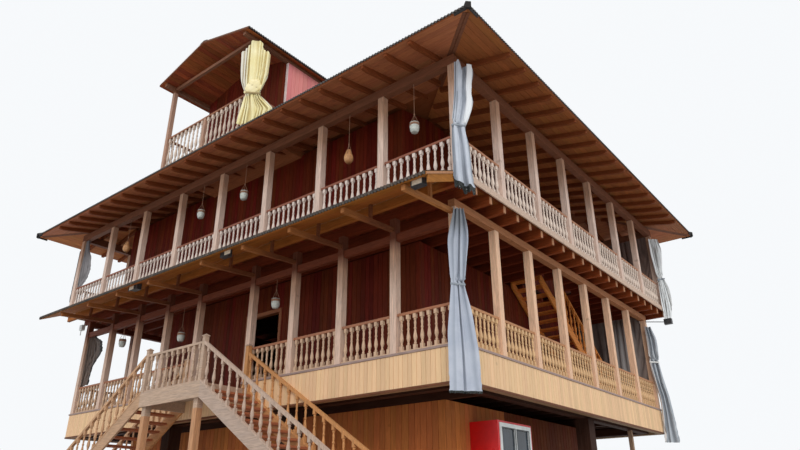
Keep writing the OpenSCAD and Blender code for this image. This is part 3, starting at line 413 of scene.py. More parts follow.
class Boards:
    """Many boards joined in one mesh, each with its own tint and eased front edges."""

    def __init__(self, name, seed):
        self.name, self.verts, self.faces, self.tints = name, [], [], []
        self.rnd = random.Random(seed)

    def slab(self, corners, normal, thick, ease=0.003):
        """A board built up from its back face; the front face is smaller all round by ease."""
        c = [V(p) for p in corners]
        n = V(normal).normalized()
        if (c[1] - c[0]).cross(c[3] - c[0]).dot(n) < 0:
            c.reverse()
        k, m = len(self.verts), len(c)
        front = []
        for i in range(m):
            a, b = (c[(i + 1) % m] - c[i]).normalized(), (c[i - 1] - c[i]).normalized()
            front.append(c[i] + n * thick + (a + b) * ease)
        self.verts += c + front
        self.faces.append(tuple(range(k + m - 1, k - 1, -1)))
        self.faces.append(tuple(range(k + m, k + 2 * m)))
        self.faces += [(k + i, k + (i + 1) % m, k + m + (i + 1) % m, k + m + i) for i in range(m)]
        self.tints += [(self.rnd.random(), self.rnd.random(), self.rnd.random(), 1.0)] * (2 * m)

    def panel(self, axis, at, out, a0, a1, z0, z1, thick, ease=0.003, z_far=None):
        """An upright board on the plane axis = at, facing out, from a0 to a1; z_far is its height at a1."""
        outline = [(a0, z0), (a1, z0), (a1, z1 if z_far is None else z_far), (a0, z1)]
        if axis == "x":
            self.slab([(at, a, z) for a, z in outline], (out, 0, 0), thick, ease)
        else:
            self.slab([(a, at, z) for a, z in outline], (0, out, 0), thick, ease)

    def rim(self, axis, at, out, a0, a1, z0, z1, side, edge, thick, ease):
        """Four strips round an upright opening."""
        left, right = a0 - side, a1 + side
        for lo, hi, low, high in ((left, right, z0 - edge, z0), (left, right, z1, z1 + edge),
                                  (left, a0, z0, z1), (a1, right, z0, z1)):
            self.panel(axis, at, out, lo, hi, low, high, thick, ease)

    def make(self, look, slot):
        ob = add_piece(self.name, self.verts, self.faces, look)
        add_tint(ob, self.tints)


# sizes in metres, the same as in the CAD model
HALF_POST = 0.075
LOWER_X, LOWER_Y, UPPER_X, UPPER_Y = 6.76, 5.11, 7.2, 5.6
LOWER_FLOOR, JOIST_Z, UPPER_FLOOR = 3.72, 6.64, 6.92
LOWER_ROOM, UPPER_ROOM = (-4.4, 5.05, 3.9), (-6.25, 5.05, 4.5)
LOWER_DECK, UPPER_DECK = (6.685, 5.035), (7.28, 5.68)
WELL_X, WELL_Y0, WELL_Y1 = 5.97, 0.03, 2.4
ROOF_X, ROOF_Y, EAVE_Z, PITCH, ROOF_T = 8.266, 6.666, 9.42, 0.22, 0.06
EDGE_Y, LEDGE_Z, FALL, LEDGE_Y, LEDGE_L, LEDGE_R = 5.71, 6.84, 0.43, -6.726, -6.558, 7.295
BEL_L, BEL_R, BEL_F, BEL_B, BEL_WALL, BEL_DECK, BEL_TOP = -1.88, 1.62, -6.3, -3.4, -5.15, 9.76, 12.5
BEL_MID, BEL_HALF, BEL_PITCH, BEL_OUT = (BEL_L + BEL_R) / 2, (BEL_R - BEL_L) / 2 + 0.22, 0.28, 0.4
BEL_EAVE = 12.5003 + ((BEL_R - BEL_L + 0.11) / 2 - BEL_HALF) * BEL_PITCH
HOLE_L, HOLE_R = BEL_L - 0.08, BEL_R + 0.08
# front post lines; the lower one has a wider bay at the head of the stair
STAIR_BAY, UPPER_BAY = 2.38, 1.8
LOWER_BAY = (LOWER_X * 2 - STAIR_BAY) / 8
LOWER_LINE = [-LOWER_X + i * LOWER_BAY for i in range(5)]
LOWER_LINE += [LOWER_X - i * LOWER_BAY for i in range(4, -1, -1)]
UPPER_LINE = [-UPPER_X + i * UPPER_BAY for i in range(9)]


def mid_bay(line, i):
    return (line[i] + line[i + 1]) / 2


def cuts(a, b, w, rnd, wander=0.12):
    """Board edges from a to b, near w wide."""
    n = max(1, round((b - a) / w))
    e = [a + (b - a) * (i + (rnd.uniform(-wander, wander) if 0 < i < n else 0)) / n for i in range(n + 1)]
    return list(zip(e, e[1:]))


def lengths(start, end, rnd, short, long, least):
    """Ends of the boards in one run, drawn one by one, with no last board shorter than least."""
    e = start
    while e < end - 0.02:
        f = min(end, e + rnd.uniform(short, long))
        if end - f < least:
            f = end
        yield e, f
        e = f


def wall(B, axis, at, out, a0, a1, z0, z1, w=0.13, t=0.012, holes=()):
    """Upright boards on a wall plane; z1 may depend on the place along the wall."""
    gap = 0.0025
    top = z1 if callable(z1) else (lambda a: z1)
    marks = sorted({a0, a1, *[h for q in holes for h in q[:2]]})
    for lo, hi in zip(marks, marks[1:]):
        for a, b in cuts(lo, hi, w, B.rnd):
            spans = [(z0, top(a), top(b))]
            for h0, h1, sill, head in holes:
                if h0 < (a + b) / 2 < h1:
                    spans = [(head, top(a), top(b))]
                    if sill > z0 + 0.02:
                        spans.insert(0, (z0, sill, sill))
            for low, near, far in spans:
                B.panel(axis, at, out, a + gap, b - gap, low, near, t, z_far=far)


def field(B, x0, x1, y0, y1, z, up, run, w=0.14, t=0.008):
    """Level boards on a floor or ceiling plane, running along x or y, with staggered joints."""
    gap = 0.002
    a0, a1, b0, b1 = (y0, y1, x0, x1) if run == "x" else (x0, x1, y0, y1)
    for a, b in cuts(a0, a1, w, B.rnd):
        for e, f in lengths(b0, b1, B.rnd, 2.4, 4.0, 0.5):
            c = [(e + gap, a + gap), (f - gap, a + gap), (f - gap, b - gap), (e + gap, b - gap)]
            B.slab([(p, q, z) if run == "x" else (q, p, z) for p, q in c], (0, 0, 1 if up else -1), t)


def slope_point(side, d, a, rise=0.0):
    """Point on one roof slope's underside plane, d in from the eave, a along it, rise above."""
    z = EAVE_Z + d * PITCH + rise
    return {"front": (a, -ROOF_Y + d, z), "back": (a, ROOF_Y - d, z),
            "right": (ROOF_X - d, a, z), "left": (-ROOF_X + d, a, z)}[side]


NORMAL = {"front": (0, -PITCH, 1), "back": (0, PITCH, 1), "right": (PITCH, 0, 1), "left": (-PITCH, 0, 1)}
HALF_EAVE = {"front": ROOF_X, "back": ROOF_X, "right": ROOF_Y, "left": ROOF_Y}


def soffits():
    """Boards under the four slopes, along the eaves and mitred at the hips."""
    depth = {"front": ROOF_Y - UPPER_ROOM[2], "back": ROOF_Y - UPPER_ROOM[2],
             "right": ROOF_X - UPPER_ROOM[1], "left": ROOF_X + UPPER_ROOM[0]}
    gap = 0.002
    for name, seed, look, sides in (("soffit_boards_long", 11, "soffit", ("front", "back")),
                                    ("soffit_boards_side", 12, "soffit_y", ("right", "left"))):
        B = Boards(name, seed)
        for side in sides:
            half = HALF_EAVE[side]
            for d0, d1 in cuts(0.012, depth[side], 0.155, B.rnd, 0.05):
                runs = [(-half, half)]
                if side == "front" and d1 > 1.27:
                    runs = [(-half, HOLE_L - gap), (HOLE_R + gap, half)]
                for lo, hi in runs:
                    for e, f in lengths(lo, hi, B.rnd, 2.6, 4.2, 0.8):
                        p, q = ((d, max(d - half, e + gap), min(half - d, f - gap))
                                for d in (d0 + gap, d1 - gap))
                        if p[1] < p[2] and q[1] < q[2]:
                            c = [(p[0], p[1]), (p[0], p[2]), (q[0], q[2]), (q[0], q[1])]
                            B.slab([slope_point(side, d, a) for d, a in c], -V(NORMAL[side]), 0.009)
        if look == "soffit":
            belvedere_step(B)
        B.make(look, "brown_wood")
    B = Boards("hip_boards", 14)
    for sx in (-1, 1):
        for sy in (-1, 1):
            a, b = (V((sx * (ROOF_X - d), sy * (ROOF_Y - d), EAVE_Z + d * PITCH - 0.0095))
                    for d in (0.1, 2.1))
            n = V((sx, sy, 0)).cross(V((0, 0, 1))).normalized()
            for q in (-1, 1):
                c = [a + n * q * 0.002, b + n * q * 0.002, b + n * q * 0.075, a + n * q * 0.075]
                B.slab(c, (sx * PITCH, sy * PITCH, -1), 0.016, 0.004)
    B.make("plate", "brown_wood")


def belvedere_step(B):
    """The level ceiling under the belvedere's deck, and boards that close the step up to the slope."""
    front, room, back, level, thick = -5.38, -4.51, -3.45, 9.7, 0.008
    field(B, HOLE_L, HOLE_R, front, room, level, False, "x")
    under_room, under_back = (EAVE_Z + (ROOF_Y + y) * PITCH for y in (room, back))
    room -= 0.002
    for x, out in ((HOLE_L, -1), (HOLE_R, 1)):
        outline = [(front, level - thick), (room, level - thick), (room, under_room - 0.002), (front, level)]
        B.slab([(x, y, z) for y, z in outline], (out, 0, 0), thick, 0.0)
        outline = [(room, level + 0.062), (back, level + 0.062), (back, under_back), (room, under_room)]
        B.slab([(x - out * 0.01, y, z) for y, z in outline], (out, 0, 0), thick, 0.0)


def corrugated(name, look, parts, ripple=0.009):
    """Rippled sheet: each part is (start, end, low edge, high edge, normal, drip), rippled up the slope."""
    pitch, thick, lip = 0.076, 0.0016, 0.012
    verts, faces = [], []
    for a0, a1, low, high, n, drip in parts:
        n = V(n).normalized()
        count = max(2, int(round((a1 - a0) / pitch * 8)))
        k = len(verts)
        for i in range(count + 1):
            a = a0 + (a1 - a0) * i / count
            wave = math.sin(2 * math.pi * a / pitch)
            off = n * (0.0015 + ripple * (1 + wave))
            p, q = V(low(a)), V(high(a))
            out = V((p.x - q.x, p.y - q.y, 0))
            out = out.normalized() * lip if out.length > 1e-6 else V((0, 0, 0))
            down = p + off + out * (1 + 0.8 * wave) - V((0, 0, drip))
            for lift in (0.0, thick):
                verts.extend([down + out * lift / lip, p + off + out * 0.9 + n * lift, q + off + n * lift])
        for i in range(count):
            j = k + 6 * i
            for r in (0, 1):
                faces.append((j + r, j + r + 1, j + r + 7, j + r + 6))
                faces.append((j + r + 3, j + r + 9, j + r + 10, j + r + 4))
            faces.append((j, j + 6, j + 9, j + 3))
            faces.append((j + 2, j + 5, j + 11, j + 8))
        for j in (k, k + 6 * count):
            faces.append((j, j + 3, j + 4, j + 1))
            faces.append((j + 1, j + 4, j + 5, j + 2))
    add_piece(name, verts, faces, look)


def sheets():
    """Sheets on the hip roof, the front ledge and the belvedere."""
    def line(side, d=0.0):
        return lambda a: slope_point(side, d, a, ROOF_T)

    def hip(side):
        return lambda a: slope_point(side, min(ROOF_Y, max(0.0, HALF_EAVE[side] - abs(a))), a, ROOF_T)

    drip = 0.045
    eave, top, n = line("front"), hip("front"), NORMAL["front"]
    parts = [(-ROOF_X, HOLE_L, eave, top, n, drip),
             (HOLE_L, HOLE_R, eave, line("front", ROOF_Y + BEL_F), n, drip),
             (HOLE_L, HOLE_R, line("front", ROOF_Y + BEL_B + 0.06), top, n, 0.0),
             (HOLE_R, ROOF_X, eave, top, n, drip)]
    parts += [(-HALF_EAVE[s], HALF_EAVE[s], line(s), hip(s), NORMAL[s], drip)
              for s in ("back", "right", "left")]
    corrugated("roof_sheets", "roof", parts)

    def ledge_edge(a):
        return a, LEDGE_Y, LEDGE_Z + (LEDGE_Y + EDGE_Y) * FALL

    parts = [(LEDGE_L, LEDGE_R, ledge_edge, lambda a: (a, -EDGE_Y - 0.001, LEDGE_Z), (0, -FALL, 1), 0.062)]
    corrugated("ledge_sheet", "ledge_sheet", parts, 0.008)
    low, high = BEL_EAVE + 0.06, BEL_EAVE + 0.06 + BEL_HALF * BEL_PITCH
    parts = [(BEL_F - BEL_OUT, BEL_B + BEL_OUT, lambda a, s=s: (BEL_MID + s * BEL_HALF, a, low),
              lambda a: (BEL_MID, a, high), (s * BEL_PITCH, 0, 1), 0.04) for s in (-1, 1)]
    corrugated("belvedere_sheets", "roof", parts)
    B = Boards("belvedere_ridge_cap", 15)
    y0, y1, z = BEL_F - BEL_OUT - 0.01, BEL_B + BEL_OUT + 0.01, high + 0.021
    for s in (-1, 1):
        x = BEL_MID + s * 0.16
        c = [(BEL_MID, y0, z), (BEL_MID, y1, z), (x, y1, z - 0.045), (x, y0, z - 0.045)]
        B.slab(c, (s * BEL_PITCH, 0, 1), 0.004)
    B.make("roof", "brown_wood")


def boarding():
    """Boards on the skirt, rooms, ground walls, floors, ledge and side edges."""
    skirt, strips = Boards("skirt_boards", 21), Boards("skirt_foot_strips", 22)
    half_x, half_y = LOWER_X + HALF_POST, LOWER_Y + HALF_POST
    foot, top, doorstep = 3.2, 3.838, (lambda a: 3.715 if abs(a) < 0.97 else 3.838)
    for s in (-1, 1):
        for axis, at, half, post, head in (("x", half_x, half_y, LOWER_Y, top),
                                           ("y", half_y, half_x, LOWER_X, top if s > 0 else doorstep)):
            wall(skirt, axis, s * at, s, -half, half, foot, head, 0.105, 0.010)
            end = post + 0.09
            strips.panel(axis, s * (at + 0.010), s, -end, end, foot - 0.005, foot + 0.038, 0.008)
    skirt.make("skirt", "pale_board")
    strips.make("strip", "pale_board")

    B = Boards("lower_room_boards", 23)
    left, right, deep = LOWER_ROOM
    door_half, door_top = 0.6, LOWER_FLOOR + 2.15
    for s in (-1, 1):
        wall(B, "x", right if s > 0 else left, s, -deep, deep, LOWER_FLOOR + 0.008, JOIST_Z)
        door = [(-door_half, door_half, LOWER_FLOOR, door_top)] if s < 0 else ()
        wall(B, "y", s * deep, s, left, right, LOWER_FLOOR + 0.008, JOIST_Z, holes=door)
    B.make("core_lo", "dark_wood")
    B = Boards("upper_room_boards", 24)
    left, right, deep = UPPER_ROOM

    def rafter_foot(x, y):
        """Underside of the rafters, or of the belvedere's ceiling at the front."""
        if y == -deep and HOLE_L - 0.01 < x < HOLE_R + 0.01:
            return 9.697
        return EAVE_Z - 0.1205 + min(ROOF_X - abs(x), ROOF_Y - abs(y)) * PITCH - 0.002

    for s in (-1, 1):
        x = right if s > 0 else left
        wall(B, "x", x, s, -deep, deep, UPPER_FLOOR + 0.008, lambda a, x=x: rafter_foot(x, a))
        wall(B, "y", s * deep, s, left, right, UPPER_FLOOR + 0.008, lambda a, s=s: rafter_foot(a, s * deep))
    B.make("core", "dark_wood")
    B = Boards("doorway_trim", 25)
    face, jamb = -3.912, door_half + 0.09
    for x in (-jamb, door_half):
        B.panel("y", face, -1, x, x + 0.09, LOWER_FLOOR + 0.008, door_top, 0.02)
    B.panel("y", face, -1, -jamb, jamb, door_top, door_top + 0.1, 0.022)
    B.make("tread", "dark_wood")
    B = Boards("ground_wall_boards", 26)
    half, front, back, low = 5.55, -3.85, 2.3, 0.01
    booth_hole = [(-3.027, -1.648, 0.0, 2.852)]
    wall(B, "x", half, 1, front, back, low, foot, 0.15, 0.014, holes=booth_hole)
    wall(B, "x", -half, -1, front, back, low, foot, 0.15, 0.014)
    wall(B, "y", front, -1, -half, half, low, foot, 0.15, 0.014)
    wall(B, "y", back, 1, -half, half, low, foot, 0.15, 0.014)
    B.make("ground", "brown_wood")

    # gallery floors and their undersides
    for name, seed, z, (hx, hy), room in (("lower", 27, LOWER_FLOOR, LOWER_DECK, LOWER_ROOM),
                                          ("upper", 28, UPPER_FLOOR, UPPER_DECK, UPPER_ROOM)):
        x0, x1, y = room[0] - 0.02, room[1] + 0.02, room[2] + 0.02
        B = Boards(name + "_gallery_floor", seed)
        side = [(x1, hx, -y, y)]
        if name == "upper":
            side = [(x1, hx, -y, WELL_Y0), (x1, hx, WELL_Y1, y), (WELL_X, hx, WELL_Y0, WELL_Y1)]
        for area in ((-hx, hx, -hy, -y), (-hx, hx, y, hy)):
            field(B, *area, z, True, "x")
        for area in [(-hx, x0, -y, y)] + side:
            field(B, *area, z, True, "y")
        B.make("floor", "brown_wood")
    B = Boards("upper_floor_underside", 29)
    (hx, hy), (left, right, y) = UPPER_DECK, LOWER_ROOM
    for area in ((-hx, hx, -hy, -y), (-hx, hx, y, hy), (-hx, left, -y, y), (right, hx, -y, WELL_Y0),
                 (right, hx, WELL_Y1, y), (WELL_X, hx, WELL_Y0, WELL_Y1)):
        field(B, *area, UPPER_FLOOR - 0.06, False, "y", 0.13, 0.006)
    B.make("under", "brown_wood")
    B = Boards("lower_floor_underside", 30)
    hx, hy = LOWER_DECK
    field(B, -hx, hx, -hy, hy, LOWER_FLOOR - 0.06, False, "y", 0.15, 0.006)
    B.make("under_lo", "brown_wood")

    def ledge_z(y, rise):
        return LEDGE_Z + (y + EDGE_Y) * FALL + rise

    # front ledge
    B = Boards("ledge_soffit_boards", 31)
    gap = 0.001
    for y0, y1 in cuts(LEDGE_Y + 0.004, -EDGE_Y - 0.004, 0.17, B.rnd, 0.04):
        y0, y1 = y0 + gap, y1 - gap
        for e, f in lengths(LEDGE_L, LEDGE_R, B.rnd, 2.4, 3.9, 0.8):
            outline = [(e + gap, y0), (f - gap, y0), (f - gap, y1), (e + gap, y1)]
            B.slab([(x, y, ledge_z(y, -0.06)) for x, y in outline], (0, FALL, -1), 0.007, 0.0015)
    B.make("ledge", "brown_wood")
    B = Boards("ledge_end_strip", 32)
    y0, y1 = LEDGE_Y + 0.01, -EDGE_Y - 0.02
    for x, out in ((LEDGE_R, 1), (LEDGE_L, -1)):
        outline = [(y0, -0.058), (y1, -0.058), (y1, -0.004), (y0, -0.004)]
        B.slab([(x, y, ledge_z(y, rise)) for y, rise in outline], (out, 0, 0), 0.012)
    B.make("pale_end", "brown_wood")
    B = Boards("joist_end_blocks", 33)
    for i in range(22):
        y = -UPPER_Y + i * 1.6 / 3
        for s in (-1, 1):
            B.panel("x", s * (UPPER_X + 0.04), s, y - 0.04, y + 0.04, JOIST_Z - 0.012, 6.788, 0.016, 0.007)
    B.make("pale_end", "brown_wood")


def belvedere():
    """Boards on the rooftop belvedere."""
    B = Boards("belvedere_wall_boards", 41)
    x0, x1, side_back, side_top = BEL_L + 0.055, BEL_R - 0.055, BEL_B - 0.055, BEL_TOP - 0.1

    def gable(a):
        return BEL_TOP + ((BEL_R - BEL_L + 0.11) / 2 - abs(a - BEL_MID)) * BEL_PITCH - 0.002

    for y, out in ((BEL_WALL, -1), (BEL_B + 0.03, 1)):
        for a, b in ((x0, BEL_MID), (BEL_MID, x1)):
            wall(B, "y", y, out, a, b, BEL_DECK, gable, 0.12)
    wall(B, "x", BEL_L - 0.03, -1, BEL_WALL + 0.06, side_back, BEL_DECK, side_top, 0.12)
    B.make("bel_wall", "dark_wood")
    B = Boards("pink_boards", 42)
    wall(B, "x", BEL_R + 0.03, 1, BEL_WALL, side_back, BEL_DECK, side_top, 0.14)
    B.make("pink", "pink_paint")
    B = Boards("pink_panel_trim", 43)
    B.panel("y", BEL_WALL, -1, BEL_R - 0.032, BEL_R + 0.045, BEL_DECK, side_top, 0.016)
    B.make("trim", "pink_paint")
    B = Boards("belvedere_soffit_boards", 44)
    y0, y1 = BEL_F - BEL_OUT + 0.002, BEL_B + BEL_OUT - 0.002
    for s in (-1, 1):
        for d0, d1 in cuts(0.004, BEL_HALF, 0.13, B.rnd, 0.06):
            outline = [(d0 + 0.001, y0), (d0 + 0.001, y1), (d1 - 0.001, y1), (d1 - 0.001, y0)]
            c = [(BEL_MID + s * (BEL_HALF - d), y, BEL_EAVE + d * BEL_PITCH) for d, y in outline]
            B.slab(c, (-s * BEL_PITCH, 0, -1), 0.008, 0.002)
    B.make("bel_soffit", "brown_wood")
    B = Boards("belvedere_gable_trim", 45)
    low, high, deep = BEL_EAVE, BEL_EAVE + BEL_HALF * BEL_PITCH, 0.055
    for y, out in ((BEL_F - BEL_OUT, -1), (BEL_B + BEL_OUT, 1)):
        for s in (-1, 1):
            x = BEL_MID + s * BEL_HALF
            c = [(x, y, low), (BEL_MID, y, high), (BEL_MID, y, high + deep), (x, y, low + deep)]
            B.slab(c, (0, out, 0), 0.012)
    B.make("strip", "brown_wood")
    B = Boards("belvedere_deck_boards", 46)
    field(B, HOLE_L, HOLE_R, BEL_F - 0.08, BEL_WALL - 0.02, BEL_DECK, True, "y", 0.12, 0.006)
    B.make("floor", "brown_wood")


class Turned:
    """Turned shapes and rods joined in one smooth mesh."""

    def __init__(self):
        self.verts, self.faces = [], []

    def lathe(self, x, y, z, profile, n=28, wobble=0.0):
        """A profile of (radius, height) turned round an upright axis."""
        k = len(self.verts)
        for r, h in profile:
            for i in range(n):
                a = 2 * math.pi * i / n
                q = r * (1 + wobble * math.sin(3 * a + 7 * h))
                self.verts.append((x + q * math.cos(a), y + q * math.sin(a), z + h))
        for j in range(k, k + (len(profile) - 1) * n, n):
            self.faces += [(j + i, j + (i + 1) % n, j + n + (i + 1) % n, j + n + i) for i in range(n)]

    def tube(self, a, b, r, n=8):
        a, b = V(a), V(b)
        d = (b - a).normalized()
        u = d.orthogonal().normalized()
        w = d.cross(u)
        k = len(self.verts)
        turns = [2 * math.pi * i / n for i in range(n)]
        self.verts += [q + (u * math.cos(t) + w * math.sin(t)) * r for q in (a, b) for t in turns]
        self.faces += [(k + i, k + (i + 1) % n, k + n + (i + 1) % n, k + n + i) for i in range(n)]
        self.faces += [tuple(range(k + n - 1, k - 1, -1)), tuple(range(k + n, k + 2 * n))]


POT = [(0.001, 0.0), (0.062, 0.0), (0.07, 0.006), (0.088, 0.05), (0.098, 0.11), (0.096, 0.17), (0.088, 0.20),
       (0.094, 0.207), (0.094, 0.222), (0.084, 0.224), (0.082, 0.20), (0.088, 0.16), (0.001, 0.15)]
GOURD = [(0.001, 0.0), (0.06, 0.004), (0.09, 0.04), (0.101, 0.09), (0.098, 0.15), (0.082, 0.20),
         (0.062, 0.25), (0.050, 0.29), (0.040, 0.32), (0.001, 0.335)]
ROPE_R = 0.005


def lanterns():
    """Pots and gourds on rope hangers, each near the middle of a front bay.

    A row is (post line, y, height of its beam), and a lantern is (row, bay, shift, foot)."""
    upper, lower = (UPPER_LINE, -UPPER_Y, 9.3), (LOWER_LINE, -LOWER_Y, 6.14)
    pots, gourds, ropes = Turned(), Turned(), Turned()

    def around(r, turn, z):
        return x + r * math.cos(turn), y + r * math.sin(turn), z

    for (line, y, top), i, dx, z in (
            (upper, 3, 0.038, 8.31), (upper, 4, 0.0, 8.31), (upper, 7, -0.069, 8.13),
            (lower, 1, -0.023, 5.56), (lower, 3, 0.107, 5.26), (lower, 5, -0.053, 5.45)):
        x = mid_bay(line, i) + dx
        pots.lathe(x, y, z, POT)
        for third in range(3):
            a = 2 * math.pi * third / 3 + 0.4
            ropes.tube(around(0.092, a, z + 0.215), (x, y, z + 0.42), ROPE_R)
            ropes.tube(around(0.097, a, z + 0.12), around(0.0925, a, z + 0.218), ROPE_R)
        ropes.lathe(x, y, z + 0.40, [(0.001, 0), (0.014, 0.006), (0.016, 0.025), (0.009, 0.045),
                                     (0.006, 0.06), (0.006, top - z - 0.40)], 10)
        ropes.lathe(x, y, z + 0.150, [(0.094, 0), (0.101, 0.004), (0.100, 0.052), (0.094, 0.056)])
    for (line, y, top), i, dx, z in ((upper, 1, 0.02, 8.27), (upper, 6, -0.061, 8.08)):
        x = mid_bay(line, i) + dx
        gourds.lathe(x, y, z, GOURD, 32, 0.05)
        for third in range(3):
            ropes.tube(around(0.086, 2 * math.pi * third / 3 + 1.0, z + 0.19), (x, y, z + 0.47), ROPE_R)
        ropes.lathe(x, y, z + 0.45, [(0.001, 0), (0.013, 0.006), (0.014, 0.02), (0.006, 0.05),
                                     (0.006, top - z - 0.45)], 10)
    for name, shape, look in (("lantern_pots", pots, "pot"), ("lantern_gourds", gourds, "gourd"),
                              ("lantern_hangers", ropes, "jute")):
        ob = add_piece(name, shape.verts, shape.faces, look, True)
        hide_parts("hanging_lanterns")


def small_parts():
    """Newel caps, flood lamp fronts, window gaskets, and the switch box with its pipe."""
    B = Boards("newel_caps", 51)
    half, edge, peak = 0.062, 0.018, 0.06
    foot_x = 1.12 + LOWER_FLOOR / 0.64 - 0.07       # the flights rise 0.64 m a metre
    spots = [(s * 1.07, -6.315, LOWER_FLOOR + 0.97) for s in (-1, 1)]
    spots += [(s * 1.17, -5.22, LOWER_FLOOR + 0.94) for s in (-1, 1)]
    spots += [(s * foot_x, y, 1.12) for s in (-1, 1) for y in (-6.34, -5.22)]
    for x, y, z in spots:
        k = len(B.verts)
        base = [V((x + half * i, y + half * j, z)) for i, j in ((-1, -1), (1, -1), (1, 1), (-1, 1))]
        B.verts += base + [p + V((0, 0, edge)) for p in base] + [V((x, y, z + peak))]
        B.faces.append((k + 3, k + 2, k + 1, k))
        B.faces += [(k + i, k + (i + 1) % 4, k + 4 + (i + 1) % 4, k + 4 + i) for i in range(4)]
        B.faces += [(k + 4 + i, k + 4 + (i + 1) % 4, k + 8) for i in range(4)]
        B.tints += [(B.rnd.random(), B.rnd.random(), 0.5, 1)] * 9
    B.make("stair", "grey_wood")
    lenses, bezels = Boards("floodlight_lenses", 53), Boards("floodlight_bezels", 54)
    arm, half, low, high, ledge_t = -UPPER_Y - 1.126 + 0.19, 0.11, 0.02, 0.125, 0.06
    y, z = arm - 0.06, LEDGE_Z + (arm + EDGE_Y) * FALL - ledge_t - 0.15
    for x in (mid_bay(LOWER_LINE, 3) - 0.018, mid_bay(LOWER_LINE, 5), LEDGE_R - 0.29):
        lenses.panel("y", y, -1, x - half, x + half, z + low, z + high, 0.004, 0.002)
        bezels.rim("y", y, -1, x - half, x + half, z + low, z + high, 0.018, 0.016, 0.012, 0.002)
    lenses.make("lens", "lamp_case")
    bezels.make("lamp", "lamp_case")
    B = Boards("booth_window_gaskets", 55)
    glass, y0, y1, middle, z0, z1 = 6.2205, -2.965, -1.71, -2.3375, 1.38, 2.81
    frame_w, mullion, wide = 0.094, 0.034, 0.016
    for a, b in ((y0 + frame_w, middle - mullion), (middle + mullion, y1 - frame_w)):
        B.rim("x", glass, 1, a, b, z0 + frame_w, z1 - frame_w, wide, wide, 0.006, 0.001)
    B.make("gasket", "white_frame")
    B = Boards("isolator_box", 52)
    B.panel("y", -5.10, -1, -7.33, -7.15, 6.46, 6.632, 0.1, 0.008)
    B.make("white", "weathered_wood")
    pipe = Turned()
    pipe.tube((-7.245, -5.165, 6.47), (-7.245, -5.165, 6.30), 0.012, 12)
    add_piece("isolator_pipe", pipe.verts, pipe.faces, "white", True)


# curtains
CLOTHS = []
SKIN, FRONT = 0.005, 0.004      # least gaps behind and before a cloth


def across(line, z):
    """Place of an outline, a list of (place, height) from the top down, at heights z."""
    return np.interp(-np.asarray(z), [-q[1] for q in line], [q[0] for q in line])


